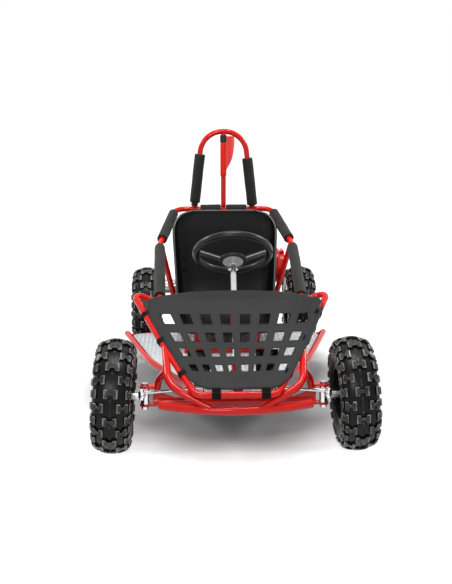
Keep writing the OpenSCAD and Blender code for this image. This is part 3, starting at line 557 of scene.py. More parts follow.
def fastener_tree():
    """A hex head on a washer at each point, turned along the point's facing."""
    tree, given = start_tree("fasteners", {"Places": "Geometry", "Head height": "Float", "Washer": "Float"})
    head = moved(tree, cylinder(tree, 6, 0.5, given["Head height"]), Translation=(0, 0, 0.2))
    washer = cylinder(tree, 20, given["Washer"], 0.12)
    stud = moved(tree, cylinder(tree, 12, 0.26, 0.3), Translation=combined(tree, Z=given["Head height"]))
    facing = named(tree, "facing", "FLOAT_VECTOR")
    turn = add(tree, "FunctionNodeAlignRotationToVector", {"Vector": facing}, axis="Z")
    bolts = set_out(tree, given["Places"], joined(tree, (head, washer, stud)),
                    Rotation=turn.outputs[0], Scale=named(tree, "across"))
    return end_tree(tree, given, bolts)


def lozenge_tree():
    """A raised bar at each point of the floor plate, turned by the point's own angle."""
    tree, given = start_tree("chequer_bars", {"Places": "Geometry", "Bar": "Vector"})
    cone = add(tree, "GeometryNodeMeshCone", {
        "Vertices": 8, "Radius Top": 0.55, "Radius Bottom": 1.0, "Depth": 1.0}).outputs[0]
    bar = moved(tree, cone, Scale=given["Bar"])
    bars = set_out(tree, given["Places"], bar, Rotation=combined(tree, Z=named(tree, "angle")))
    return end_tree(tree, given, bars)


def perforated_tree():
    """A round plate with a hole through it at each point."""
    tree, given = start_tree("perforated_plate", {
        "Places": "Geometry", "Radius": "Float", "Thickness": "Float", "Hole": "Float"})
    plate = cylinder(tree, 64, given["Radius"], given["Thickness"])
    drills = set_out(tree, given["Places"], cylinder(tree, 12, given["Hole"], 50 * MM))
    holes = add(tree, "GeometryNodeRealizeInstances", {"Geometry": drills}).outputs[0]
    drilled = add(tree, "GeometryNodeMeshBoolean", {"Mesh 1": plate, "Mesh 2": holes},
                  operation="DIFFERENCE", solver="EXACT").outputs[0]
    return end_tree(tree, given, drilled)


def chain_tree():
    """Inner and outer links by turns along the chain's path, each turned by its point's own angle."""
    tree, given = start_tree("chain_links", {"Path": "Geometry", "Pitch": "Float"})
    roller = moved(tree, cylinder(tree, 12, 2.3 * MM, 9.4 * MM), Rotation=(0, math.pi / 2, 0))
    shapes = []
    for side in (-1, 1):
        plate = add(tree, "GeometryNodeMeshCube", {
            "Size": (1.2 * MM, 17.5 * MM, 8.6 * MM), "Vertices Y": 2})
        shapes.append(moved(tree, plate.outputs[0], Translation=(side * 4.0 * MM, 0, 0)))
    for end in (-0.5, 0.5):
        reach = maths(tree, "MULTIPLY", given["Pitch"], end)
        shapes.append(moved(tree, roller, Translation=combined(tree, Y=reach)))
    links = set_out(tree, given["Path"], joined(tree, shapes),
                    Rotation=combined(tree, X=named(tree, "angle")),
                    Scale=combined(tree, X=named(tree, "width"), Y=1.0, Z=1.0))
    return end_tree(tree, given, links)


def point_cloud(name, places, **attributes):
    """An object of loose points, with a float or vector attribute for each keyword."""
    mesh = bpy.data.meshes.new(name)
    mesh.from_pydata([tuple(p) for p in places], [], [])
    for key, values in attributes.items():
        vector = hasattr(values[0], "__len__")
        layer = mesh.attributes.new(key, "FLOAT_VECTOR" if vector else "FLOAT", "POINT")
        flat = [c for v in values for c in v] if vector else list(values)
        layer.data.foreach_set("vector" if vector else "value", flat)
    made = bpy.data.objects.new(name, mesh)
    bpy.context.scene.collection.objects.link(made)
    return made


# Tyres


def carcass_half(sizes):
    """Half of the carcass outline, (across, radius) in millimetres from the bead to the crown."""
    outline = [(43.8, 76.8), (43.8, 86.5)]
    for i in range(6):
        t = math.radians(15 * i)
        outline.append((48 + (sizes.half_width - 48) * math.sin(t), 88 + 30 * (1 - math.cos(t))))
    for i in range(13):
        t = math.radians(7.5 * i)
        outline.append((sizes.half_width * math.cos(t) ** 0.77 if i < 12 else 0.0,
                        118 + (sizes.crown - 118) * math.sin(t) ** 0.77))
    return outline


def tread_surface(sizes):
    """A function from (arc across, arc round, height) in millimetres to a point of the tread."""
    crown = [p for p in reversed(carcass_half(sizes)) if p[1] > 100]
    arcs = [0.0]
    for a, b in zip(crown, crown[1:]):
        arcs.append(arcs[-1] + math.dist(a, b))

    def at(u, s, height):
        far = min(abs(u), arcs[-1] - 0.01)
        i = max(k for k in range(len(arcs) - 1) if arcs[k] <= far)
        t = (far - arcs[i]) / (arcs[i + 1] - arcs[i])
        x = crown[i][0] + (crown[i + 1][0] - crown[i][0]) * t
        r = crown[i][1] + (crown[i + 1][1] - crown[i][1]) * t
        dx, dr = crown[i + 1][0] - crown[i][0], crown[i + 1][1] - crown[i][1]
        size = math.hypot(dx, dr)
        x, radius = x - dr / size * height, r + dx / size * height
        angle = math.pi + s / sizes.crown
        return Vector((math.copysign(x, u), radius * math.sin(angle), radius * math.cos(angle))) * MM
    return at


def bone(wide, tall, lobe, waist):
    """Outline of a dog-bone block: two lobes joined by a waist."""
    a, b, c, e = wide / 2, tall / 2, lobe, waist / 2
    quarter = [(a, e * 0.7), (a, b), (a - c, b), (a - c * 1.6, e)]
    right = [(x, -y) for x, y in reversed(quarter)] + quarter
    return right + [(-x, -y) for x, y in right]


def block(outline, centre, height, surface):
    """A tapered tread block on the carcass, and how much painted highlight each of its points takes."""
    verts, faces, edge_highlight = [], [], []
    n = len(outline)
    # Scale of the outline, level and painted highlight of each ring from the foot to the top
    rings = ((1.08, -2.0, 0.0), (1.0, height * 0.5, 0.0), (0.97, height - 1.8, 0.45),
             (0.86, height - 0.1, 0.9), (0.76, height, 0.1))
    for scale, level, paleness in rings:
        verts += [surface(centre[0] + u * scale, centre[1] + s * scale, level) for u, s in outline]
        edge_highlight += [paleness] * n
    for ring in range(len(rings) - 1):
        for i in range(n):
            j = (i + 1) % n
            faces.append((ring * n + i, ring * n + j, ring * n + n + j, ring * n + n + i))
    half = n // 2
    top = (len(rings) - 1) * n
    # The bone is two four-sided lobes and the waist between them
    faces.append(tuple(top + i for i in range(half)))
    faces.append(tuple(top + half + i for i in range(half)))
    faces.append((top + 0, top + half - 1, top + half, top + n - 1))
    return verts, faces, edge_highlight


def tread_pitch(sizes):
    """One pitch of the tread: middle block, a pair beside it, shoulder blocks and lugs."""
    surface = tread_surface(sizes)
    pitch = math.tau * sizes.crown / sizes.repeats
    verts, faces, edge_highlight = [], [], []
    layout = [(bone(38, 25, 9, 7), 0.0, 0.0, sizes.knob)]
    for side in (-1, 1):
        layout += [
            (bone(30, 25, 8, 7), side * 32.0, pitch / 2, sizes.knob),
            (bone(19, 25, 6, 10), side * 48.0, 0.0, sizes.knob - 1.0),
            (bone(13, 22, 4, 12), side * 60.0, pitch / 2, sizes.knob - 2.5),
            (bone(10, 16, 3, 10), side * 70.0, 0.0, 2.2)]
    layout.append((bone(3.4, pitch - 27, 1, 6), 0.0, pitch / 2, 1.6))
    for outline, u, s, height in layout:
        more, sides, paleness = block(outline, (u, s), height, surface)
        faces += [tuple(len(verts) + i for i in face) for face in sides]
        verts += more
        edge_highlight += paleness
    return verts, faces, edge_highlight


def carcass(sizes, steps=96):
    """The tyre's closed shell, turned about the X axis."""
    half = carcass_half(sizes)
    inner = [(31, 76.8), (36, 92), (45, 118), (42, 136), (26, 147), (0, 149.5)]
    section = half + [(-x, r) for x, r in reversed(half[:-1])]
    section += [(-x, r) for x, r in inner] + [(x, r) for x, r in reversed(inner[:-1])]
    verts = []
    for i in range(steps):
        angle = math.tau * i / steps
        verts += [Vector((x, r * math.sin(angle), r * math.cos(angle))) * MM for x, r in section]
    return verts, ring_faces(steps, len(section))


def point_outwards(made):
    """Merges doubles and turns every face of a closed mesh outwards."""
    work = bmesh.new()
    work.from_mesh(made.data)
    bmesh.ops.remove_doubles(work, verts=work.verts, dist=1e-6)
    bmesh.ops.recalc_face_normals(work, faces=work.faces)
    work.to_mesh(made.data)
    work.free()


def front_wheel(side):
    """Place of a front wheel: its axle leans with the camber."""
    place = Matrix.Translation(spot(side * FRONT_TRACK / 2, 0, FRONT_WHEEL_Z))
    return place @ Matrix.Rotation(-side * CAMBER, 4, "Y")


def rear_wheel(side):
    return Matrix.Translation(spot(side * REAR_TRACK / 2, WHEELBASE, REAR_WHEEL_Z))


def tyre(name, sizes, ring, places):
    """Carcass and tread of the tyres that turn together."""
    shells = []
    for i, place in enumerate(places):
        shell = mesh_object(f"{name}_carcass_{i}", *carcass(sizes), "rubber")
        point_outwards(shell)
        verts, faces, edge_highlight = tread_pitch(sizes)
        knobs = mesh_object(f"{name}_tread_{i}", verts, faces, "rubber", smooth=False)
        # The attribute carries the painted highlight on the block edges
        knobs.data.attributes.new("edge_highlight", "FLOAT", "POINT").data.foreach_set("value", edge_highlight)
        point_outwards(knobs)
        bake_tree(knobs, ring, {"Repeats": sizes.repeats, "Finish": FINISHES["rubber"]})
        for made in (shell, knobs):
            made.data.transform(place)
        shells += [shell, knobs]
    whole = join_into(shells[0], shells[1:])
    whole.name = name
    return whole


class KART_OT_tyres(bpy.types.Operator):
    """Knobbed tyres in place of the plain ones"""
    bl_idname = "kart.tyres"
    bl_label = "Tyres"

    def execute(self, context):
        sizes = context.scene.kart_tyres
        ring = ring_tree()
        for side, word in ((-1, "left"), (1, "right")):
            made = tyre(f"{word}_front_knobbed_tyre", sizes, ring, [front_wheel(side)])
            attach(made, f"{word}_front_wheel")
            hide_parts(f"{word}_front_tyre")
        made = tyre("rear_knobbed_tyres", sizes, ring, [rear_wheel(-1), rear_wheel(1)])
        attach(made, "rear_axle")
        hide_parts("rear_tyres")
        return {"FINISHED"}


class KART_OT_finishes(bpy.types.Operator):
    """A procedural finish on every solid"""
    bl_idname = "kart.finishes"
    bl_label = "Finishes"

    def execute(self, context):
        make_finishes(context.scene.kart_colours)
        for finish, names in CAD_FINISH.items():
            for name in names:
                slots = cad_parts[name].data.materials
                slots.clear()
                slots.append(FINISHES[finish])
        return {"FINISHED"}


# Nose net


def row_half(v):
    """Half the spread of a row of windows at v up the slope."""
    return 88.5 + 0.366 * v


def window_line(i, side, v):
    """Where the left or right edge of window column i runs at v."""
    pitch = 2 * row_half(v) / (NET_COLUMNS - 1)
    return (2 * i / (NET_COLUMNS - 1) - 1) * row_half(v) + side * 0.27 * pitch


def subdivided(stops, parts):
    """Stops with parts - 1 more places between each two, and the strip that each belongs to."""
    places = []
    for i, (a, b) in enumerate(zip(stops, stops[1:])):
        places += [(a + (b - a) * k / parts, i) for k in range(parts)]
    return places + [(stops[-1], len(stops) - 2)]


def part_way(points, part):
    """The point of a broken line at a part of its length."""
    spans = [math.dist(a, b) for a, b in zip(points, points[1:])]
    left = part * sum(spans)
    for a, b, span in zip(points, points[1:], spans):
        if left <= span:
            return Vector(a) + (Vector(b) - Vector(a)) * left / span
        left -= span
    return Vector(points[-1])


def net_stops():
    stops = [NET_SIDE[0][1] + 6]
    for v in NET_ROWS:
        half_tall = 0.39 * 2 * row_half(v) / (NET_COLUMNS - 1)
        stops += [v - half_tall, v + half_tall]
    return stops + [NET_SIDE[-1][1]]


def net_grid(parts):
    """Rows of flat net points from hem to head, and the band of windows that each row starts."""
    rows = []
    for v, band in subdivided(net_stops(), 5):
        edge = along(NET_SIDE, v)
        lines = [window_line(i, side, v) for i in range(NET_COLUMNS) for side in (-1, 1)]
        squeeze = min(1.0, (edge - 8) / max(abs(x) for x in lines))
        stops = [-edge, *(x * squeeze for x in lines), edge]
        rows.append(([Vector((u, v)) for u, _ in subdivided(stops, parts)], band))
    for table, end, steps in ((NET_FOOT, 0, 6), (NET_HEAD, -1, 14)):
        line, _ = rows[end]
        edge = line[-1].x
        rim = []
        for p in line:
            q = part_way(table, abs(p.x) / edge)
            rim.append(Vector((math.copysign(q.x, p.x), q.y)))
        more = [([a.lerp(b, k / steps) for a, b in zip(line, rim)], 0) for k in range(1, steps + 1)]
        rows = rows + more if end else more[::-1] + rows
    return rows


def net_lift(u, v, sizes):
    """Height of the cloth over the loop's plane: slack in the middle, creased at the upper corners."""
    across, up = u / (150 + 0.31 * v), (v - 8) / 432
    slack = max(0.0, 1 - across ** 2) * math.sin(math.pi * min(1, max(0, up)))
    corner = smooth_step((across - 0.5) / 0.4) * smooth_step((up - 0.55) / 0.3)
    ridge = math.sin((across * 2.3 - up * 0.6) * 17)
    pull = smooth_step((-across - 0.6) / 0.4) * smooth_step((up - 0.6) / 0.3) * math.sin((up - across) * 15)
    hem = math.exp(-((up - 0.05) / 0.05) ** 2) * math.sin(u * 0.05 + 0.6)
    ripple = 0.6 * math.sin(up * 23 + across * 4) * max(0.0, 1 - abs(across))
    over_bar = 4.5 * smooth_step((up - 0.9) / 0.1)
    creases = 4.2 * corner * ridge
    return (sizes.lift - sizes.sag * slack + creases + 1.8 * pull + 1.5 * hem + ripple * slack
            - over_bar)


class KART_OT_nose_net(bpy.types.Operator):
    """Cloth net with rows of windows over the nose loop"""
    bl_idname = "kart.nose_net"
    bl_label = "Nose net"

    def execute(self, context):
        sizes = context.scene.kart_net
        parts = 4
        rows = net_grid(parts)
        head = [p.y for p in rows[-1][0]]
        foot = [p.y for p in rows[0][0]]
        verts, flat, edges = [], [], []
        for line, _ in rows:
            for j, p in enumerate(line):
                flat.append(tuple(p))
                edges.append(min(line[-1].x - abs(p.x), p.y - foot[j], 99.0))
                verts.append(on_nose(p.x + sizes.shift, p.y, net_lift(p.x, p.y, sizes)))
        # The head turns over the bar behind it
        for k in range(1, 6):
            for j, p in enumerate(rows[-1][0]):
                a = math.radians(18 * k)
                drop = 13 + 13 * (p.x / 272) ** 2
                flat.append((p.x, head[j] + 5 * k))
                edges.append(99.0)
                verts.append(on_nose(p.x + sizes.shift, head[j] + 12 * math.sin(a),
                                     net_lift(p.x, head[j], sizes) - drop * (1 - math.cos(a))))
        columns = len(rows[0][0])
        count = len(rows) + 5
        bands = [band for _, band in rows] + [0] * 5
        faces = []
        for face, (i, j) in zip(grid_faces(count, columns),
                                [(i, j) for i in range(count - 1) for j in range(columns - 1)]):
            if not (bands[i] % 2 == 1 and (j // parts) % 2 == 1):
                faces.append(face)
        made = mesh_object("nose_net_cloth", verts, faces, "cloth")
        layer = made.data.attributes.new("edge_mm", "FLOAT", "POINT")
        layer.data.foreach_set("value", edges)
        chart_of(made, [Vector(p) * MM for p in flat])
        thicken(made, sizes.thickness)
        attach(made, "chassis")
        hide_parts("nose_net")
        return {"FINISHED"}


def ribbon(name, path, wide_dir, width, thick, finish):
    """A flat band along a path, with its own length and width as its chart."""
    half = wide_dir.normalized() * width / 2
    verts, uvs, run = [], [], 0.0
    for i, p in enumerate(path):
        ahead = path[min(i + 1, len(path) - 1)] - path[max(i - 1, 0)]
        out = ahead.cross(wide_dir).normalized() * thick / 2
        run += (p - path[i - 1]).length if i else 0.0
        verts += [p - half + out, p + half + out, p + half - out, p - half - out]
        uvs += [(0, run), (width, run), (width, run), (0, run)]
    faces = grid_faces(len(path), 4, wrap_columns=True)
    faces += [(3, 2, 1, 0), tuple(len(verts) - 4 + i for i in range(4))]
    made = mesh_object(name, verts, faces, finish, smooth=False)
    chart_of(made, uvs)
    point_outwards(made)
    return made


class KART_OT_net_straps(bpy.types.Operator):
    """Hook-and-loop straps that tie the net to the nose loop"""
    bl_idname = "kart.net_straps"
    bl_label = "Net straps"

    def execute(self, context):
        sizes = context.scene.kart_net
        spots = [(side * along(NOSE_HALF, v), v, side) for side in (-1, 1) for v in (80, 219, 340)]
        spots += [(u, 0.0, 0) for u in (-56.0, 80.0)]
        straps = []
        normal = on_nose(0, 0, 1) - on_nose(0, 0, 0)
        for i, (u, v, side) in enumerate(spots):
            if side:
                low, high = (0.0, 224.0) if v < 224 else (224.0, 456.0)
                far, near = (on_nose(side * along(NOSE_HALF, end), end) for end in (high, low))
                run = (far - near).normalized()
                inward = normal.cross(run).normalized() * MM
                inward = inward if inward.x * side < 0 else -inward
                edge = side * along(NET_SIDE, v) + sizes.shift
                gap = abs(u - edge) * 0.92 if abs(edge) < abs(u) else 2.0
            else:
                run, inward, gap = Vector((1, 0, 0)), (on_nose(0, 1) - on_nose(0, 0)), 8.0
            centre = on_nose(u, v)
            r = CAGE_R + 1.2
            path = [centre + inward * (gap + 6) + normal * (sizes.lift + 1.6),
                    centre + inward * (gap * 0.6 + 3) + normal * (sizes.lift + 1.4)]
            for k in range(17):
                a = math.radians(70 + k * 240 / 16)
                path.append(centre + inward * (r * math.cos(a)) + normal * (r * math.sin(a)))
            path += [centre + inward * (gap * 0.6 + 4) + normal * (sizes.lift - 4.5),
                     centre + inward * (gap + 5) + normal * (sizes.lift - 2.2)]
            straps.append(ribbon(f"net_strap_{i}", path, run, (18 if side else 25) * MM, 1.2 * MM, "web"))
        made = join_into(straps[0], straps[1:])
        made.name = "net_strap_loops"
        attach(made, "chassis")
        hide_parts("net_straps")
        return {"FINISHED"}


class KART_OT_pennant(bpy.types.Operator):
    """Small flag on a sleeve round the hoop's post"""
    bl_idname = "kart.pennant"
    bl_label = "Pennant"

    def execute(self, context):
        low, high, length, turn = 690.0, 814.0, 150.0, math.radians(72)
        sleeve_r = 11.2
        rows, columns = 58, 24
        wrap = 14
        verts, flat = [], []
        for i in range(rows):
            if i < wrap:
                d = -2 * math.pi * sleeve_r * (1 - i / wrap)
            else:
                d = (i - wrap) * length / (rows - wrap - 1)
            far = max(0.0, d / length)
            bottom = low + 10 * smooth_step(d / 8) + 101 * far ** 1.9
            top = high + 24 * smooth_step((d - 1.8) / 3) - 9 * far
            for j in range(columns):
                t = j / (columns - 1)
                z = bottom + (top - bottom) * t
                if i < wrap:
                    a = turn + d / sleeve_r
                    x, y = sleeve_r * math.cos(a), sleeve_r * math.sin(a)
                else:
                    wave = 3 * math.sin(math.radians(d * 2.6 + 20 * t)) * min(1, d / 60)
                    x = (d + sleeve_r) * math.cos(turn) - wave * math.sin(turn)
                    y = (d + sleeve_r) * math.sin(turn) + wave * math.cos(turn)
                flat.append((d, z))
                verts.append(spot(x, CROSSBAR[0] + y, z))
        faces = grid_faces(rows, columns)
        made = mesh_object("pennant_cloth", verts, faces, "nylon")
        chart_of(made, [Vector(p) * MM for p in flat])
        thicken(made, 0.8)
        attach(made, "chassis")
        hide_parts("safety_flag")
        return {"FINISHED"}


# Foam sleeves


def foam_sleeve(name, start, end, diameter, bore, seed):
    """A slit foam tube: soft ends, a slightly uneven skin and a seam along its underside."""
    axis = end - start
    length = axis.length
    axis.normalize()
    side = axis.cross(Vector((0, 0, 1)) if abs(axis.z) < 0.8 else Vector((1, 0, 0))).normalized()
    up = side.cross(axis)
    steps, sides = 40, 36
    places = [0.0, 0.0008, 0.002, 0.004] + [0.007 + (length - 0.014) * k / steps for k in range(steps + 1)]
    places += [length - 0.004, length - 0.002, length - 0.0008, length]
    verts = []
    for d in places:
        near = min(d, length - d) / 0.006
        round_end = 0.0016 * (1 - math.sqrt(1 - (1 - min(1, near)) ** 2))
        for k in range(sides):
            angle = math.tau * k / sides
            way = side * math.cos(angle) + up * math.sin(angle)
            probe = Vector((d * 22 + seed, math.cos(angle) * 1.1, math.sin(angle) * 1.1))
            wobble = noise.noise(probe) * 0.0009
            slit = -0.0016 * math.exp(-((angle - 1.5 * math.pi) / 0.07) ** 2)
            verts.append(start + axis * d + way * (diameter / 2 - round_end + wobble + slit))
    for d in (length, 0.0):
        for k in range(sides):
            angle = math.tau * k / sides
            verts.append(start + axis * d + (side * math.cos(angle) + up * math.sin(angle)) * bore)
    made = mesh_object(name, verts, ring_faces(len(places) + 2, sides), "foam")
    point_outwards(made)
    return made


class KART_OT_foam(bpy.types.Operator):
    """Foam sleeves on the cage arms, hoop legs and crossbar"""
    bl_idname = "kart.foam"
    bl_label = "Foam sleeves"

    def execute(self, context):
        sizes = context.scene.kart_pads
        bore = (CAGE_R + 0.4) * MM
        first, middle, last = (Vector(p) for p in CAGE_ROUTE)
        groups = {"arm_pads": [], "hoop_pads": [], "crossbar_pad": []}
        for side in (-1, 1):
            for a, b, y0, y1 in ((first, middle, 290, 672), (middle, last, 738, 948)):
                ends = [a + (b - a) * (y - a.y) / (b.y - a.y) for y in (y0, y1)]
                groups["arm_pads"].append(([spot(side * p.x, p.y, p.z) for p in ends], sizes.arm))
            ends = [spot(side * x, *CROSSBAR) for x in (10.6, 88)]
            groups["crossbar_pad"].append((ends, sizes.crossbar))
        for side, *levels in LEG_PADS:
            ends = []
            for z in levels:
                t = (z - HOOP_FOOT[1]) / (HOOP_HEAD[1] - HOOP_FOOT[1])
                ends.append(spot(side * (HOOP_FOOT[0] + (HOOP_HEAD[0] - HOOP_FOOT[0]) * t), CROSSBAR[0], z))
            groups["hoop_pads"].append((ends, sizes.hoop))
        seed = 3.0
        for node, list_of in groups.items():
            sleeves = []
            for ends, diameter in list_of:
                sleeves.append(foam_sleeve(f"{node}_{len(sleeves)}", *ends, diameter * MM, bore, seed))
                seed += 5.7
            made = join_into(sleeves[0], sleeves[1:])
            made.name = f"{node}_foam"
            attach(made, "chassis")
            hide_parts(node)
        return {"FINISHED"}


# Seat


def seat_row(t):
    """The seat's middle line, width and side height at t, by a smooth curve through its rows."""
    last = len(SEAT_ROWS) - 1
    i = min(int(t), last - 1)
    f = t - i
    p = [SEAT_ROWS[min(max(k, 0), last)] for k in (i - 1, i, i + 1, i + 2)]
    return [0.5 * (2 * b + (c - a) * f + (2 * a - 5 * b + 4 * c - d) * f * f
                   + (3 * b - a - 3 * c + d) * f ** 3) for a, b, c, d in zip(*p)]


def seat_skin(sizes, out, rows, columns):
    """One skin of the seat, the inner one at out 0 and the outer one at 1."""
    verts = []
    last = len(SEAT_ROWS) - 1
    for i in range(rows):
        t = last * i / (rows - 1)
        y, z, part, rise = seat_row(t)
        y0, z0, *_ = seat_row(max(0, t - 0.3))
        y1, z1, *_ = seat_row(min(last, t + 0.3))
        ahead = Vector((0, y1 - y0, z1 - z0)).normalized()
        up = Vector((0, -ahead.z, ahead.y))
        half = sizes.half_width * part + out * sizes.wall
        tall = rise + out * sizes.wall
        for j in range(columns):
            w = 2 * j / (columns - 1) - 1
            far = abs(w)
            x = math.copysign(half * (1 - (1 - far) ** 2.2), w)
            p = Vector((x, y, z)) + up * (tall * far ** 5 - out * sizes.wall)
            verts.append(spot(*p))
    return verts


class KART_OT_seat(bpy.types.Operator):
    """Moulded bucket seat with a rounded rim"""
    bl_idname = "kart.seat"
    bl_label = "Seat"

    def execute(self, context):
        sizes = context.scene.kart_seat
        rows, columns = 56, 41
        inner = seat_skin(sizes, 0, rows, columns)
        outer = seat_skin(sizes, 1, rows, columns)
        n = rows * columns
        faces = grid_faces(rows, columns) + [f[::-1] for f in grid_faces(rows, columns, n)]
        border = [(i, 0) for i in range(rows)] + [(rows - 1, j) for j in range(1, columns)]
        border += [(i, columns - 1) for i in range(rows - 2, -1, -1)]
        border += [(0, j) for j in range(columns - 2, 0, -1)]
        ring = [i * columns + j for i, j in border]
        for a, b in zip(ring, ring[1:] + ring[:1]):
            faces.append((a, b, n + b, n + a))
        made = mesh_object("bucket_seat", inner + outer, faces, "moulding")
        point_outwards(made)
        # A rolled bead stiffens the moulding's edge; its paler, glossier finish is a painted highlight
        middle = [(inner[k] + outer[k]) / 2 for k in ring]
        verts, sides = [], 8
        for i, p in enumerate(middle):
            ahead = (middle[(i + 2) % len(middle)] - middle[i - 2]).normalized()
            first = ahead.cross(Vector((0.3, 0.5, 0.8))).normalized()
            second = ahead.cross(first)
            for k in range(sides):
                a = math.tau * k / sides
                verts.append(p + (first * math.cos(a) + second * math.sin(a)) * 4.2 * MM)
        bead = mesh_object("seat_bead", verts, ring_faces(len(middle), sides), "rim_highlight")
        point_outwards(bead)
        join_into(made, [bead])
        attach(made, "chassis")
        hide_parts("seat_shell")
        return {"FINISHED"}


# Floor, chain and fasteners


def inside(point, outline):
    """True if a point of the plane lies inside a closed outline."""
    x, y = point
    odd = False
    for (ax, ay), (bx, by) in zip(outline, outline[1:] + outline[:1]):
        if (ay > y) != (by > y) and x < ax + (bx - ax) * (y - ay) / (by - ay):
            odd = not odd
    return odd


class KART_OT_floor_plate(bpy.types.Operator):
    """Raised bars of the chequer plate"""
    bl_idname = "kart.floor_plate"
    bl_label = "Floor plate"

    def execute(self, context):
        outline = [*PLATE_EDGE, *((-x, y) for x, y in reversed(PLATE_EDGE))]
        places, angles = [], []
        for i in range(-25, 26):
            for j in range(54):
                x, y = i * BAR_PITCH, 14 + j * BAR_PITCH
                under_tube = abs(x) < 158 and min(abs(y - 520), abs(y - 770)) < 15
                if inside((x, y), outline) and not under_tube:
                    places.append(spot(x, y, BAR_LEVEL))
                    angles.append(math.radians(45 if (i + j) % 2 else -45))
        made = point_cloud("chequer_bars", places, angle=angles)
        bake_tree(made, lozenge_tree(), {"Bar": Vector(BAR) * MM, "Finish": FINISHES["chequer"]})
        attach(made, "chassis")
        return {"FINISHED"}


class KART_OT_chain(bpy.types.Operator):
    """Roller chain round the two sprockets"""
    bl_idname = "kart.chain"
    bl_label = "Chain"

    def execute(self, context):
        big, small = (CHAIN_PITCH / math.sin(math.pi / n) / 2 for n in (AXLE_TEETH, CLUTCH_TEETH))
        span = Vector(CLUTCH_PLACE)
        lean, wrap = math.atan2(span.y, span.x), math.acos((big - small) / span.length)
        run = span.length * math.sin(wrap)
        big_arc, small_arc = big * 2 * (math.pi - wrap), small * 2 * wrap
        whole = big_arc + small_arc + 2 * run
        count = 2 * round(whole / CHAIN_PITCH / 2)
        places, angles, widths = [], [], []
        for i in range(count):
            s = whole * i / count
            if s < big_arc:
                a, centre, radius, past = lean + wrap + s / big, Vector((0, 0)), big, 0.0
            elif s < big_arc + run:
                a, centre, radius, past = lean - wrap, Vector((0, 0)), big, s - big_arc
            elif s < big_arc + run + small_arc:
                a, centre, radius, past = lean - wrap + (s - big_arc - run) / small, span, small, 0.0
            else:
                a, centre, radius, past = lean + wrap, span, small, s - whole + run
            heading = a + math.pi / 2
            p = centre + Vector((math.cos(a), math.sin(a))) * radius
            p += Vector((math.cos(heading), math.sin(heading))) * past
            places.append(spot(CHAIN_X, WHEELBASE + p.x, REAR_WHEEL_Z + p.y))
            angles.append(heading)
            widths.append(1.0 if i % 2 else 1.32)
        made = point_cloud("chain_links", places, angle=angles, width=widths)
        bake_tree(made, chain_tree(), {"Pitch": CHAIN_PITCH * MM, "Finish": FINISHES["oiled"]})
        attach(made, "chassis")
        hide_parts("drive_chain")
        return {"FINISHED"}


def circle(count, radius, z):
    """Points evenly round a circle about the Z axis, in millimetres."""
    angles = [math.tau * k / count for k in range(count)]
    return [Vector((radius * math.cos(a), radius * math.sin(a), z)) * MM for a in angles]


def spoke(name, angle, start, end):
    """A flat pressed bar from the hub out to the ring, with bright alloy on two chamfers as a painted
    highlight.
    """
    out = Vector((math.cos(angle), math.sin(angle), 0))
    side = Vector((-math.sin(angle), math.cos(angle), 0))
    ends = [out * reach + Vector((0, 0, level)) for reach, level in (start, end)]
    thick = (ends[1] - ends[0]).cross(side).normalized()
    section = ((-12, -3), (12, -3), (13, -2), (13, 1), (11, 3), (-11, 3), (-13, 1), (-13, -2))
    verts = [(p + side * w + thick * t) * MM for p in ends for w, t in section]
    n = len(section)
    faces = grid_faces(2, n, wrap_columns=True) + [tuple(range(n)), tuple(range(n, 2 * n))]
    made = mesh_object(name, verts, faces, "grip", False)
    # Two chamfers take the bright alloy as a painted highlight along the spoke's edges
    made.data.materials.append(FINISHES["hub"])
    for i in (3, 5):
        made.data.polygons[i].material_index = 1
    point_outwards(made)
    return made


class KART_OT_steering_wheel(bpy.types.Operator):
    """Steering wheel: a padded ring on three pressed spokes"""
    bl_idname = "kart.steering_wheel"
    bl_label = "Steering wheel"

    def execute(self, context):
        steps, sides = 96, 20
        ring = STEERING_R - GRIP_R
        verts = []
        for i in range(steps):
            a = math.tau * i / steps
            for k in range(sides):
                b = math.tau * k / sides
                r = ring + GRIP_R * math.cos(b)
                verts.append(Vector((r * math.cos(a), r * math.sin(a), GRIP_R * math.sin(b))) * MM)
        made = mesh_object("steering_wheel_ring", verts, ring_faces(steps, sides), "grip")
        point_outwards(made)
        verts = []
        disc = ((0.2, 22.2), (44.6, 22.2), (45.8, 23.4), (45.8, 26.6), (44.6, 27.8), (0.2, 27.8))
        for r, z in disc:
            verts += circle(48, r, z)
        centre = mesh_object("steering_wheel_centre", verts, ring_faces(len(disc), 48), "grip", False)
        point_outwards(centre)
        spokes = [spoke(f"steering_spoke_{a}", math.radians(a), (36, 25), (ring - 4, 2))
                  for a in SPOKE_ANGLES]
        join_into(made, [centre, *spokes])
        up = Vector((0, -math.sin(COLUMN_SLOPE), math.cos(COLUMN_SLOPE)))
        turn = Matrix((Vector((1, 0, 0)), up, COLUMN)).transposed().to_4x4()
        made.data.transform(Matrix.Translation(spot(*WHEEL_CENTRE)) @ turn)
        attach(made, "steering")
        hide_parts("steering_wheel")
        return {"FINISHED"}


class KART_OT_hub(bpy.types.Operator):
    """Perforated plate and collar that join the steering wheel to its shaft"""
    bl_idname = "kart.hub"
    bl_label = "Steering hub"

    def execute(self, context):
        places = []
        for count, radius in ((10, 17.5), (14, 26.0)):
            places += circle(count, radius, 0.0)
        plate = point_cloud("steering_hub_plate", places)
        bake_tree(plate, perforated_tree(), {
            "Radius": 32.8 * MM, "Thickness": 4.6 * MM, "Hole": 1.9 * MM, "Finish": FINISHES["hub"]})
        verts, sides = [], 40
        for r, z in ((9.15, 2.0), (10.8, 2.0), (10.8, 11.0), (9.6, 12.2), (9.15, 12.2)):
            verts += circle(sides, r, z)
        collar = mesh_object("hub_collar", verts, ring_faces(len(verts) // sides, sides), "zinc", False)
        point_outwards(collar)
        made = join_into(plate, [collar])
        turn = COLUMN.to_track_quat("Z", "Y").to_matrix().to_4x4()
        made.data.transform(Matrix.Translation(spot(*WHEEL_CENTRE) + COLUMN * 31 * MM) @ turn)
        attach(made, "steering")
        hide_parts("steering_hub")
        return {"FINISHED"}


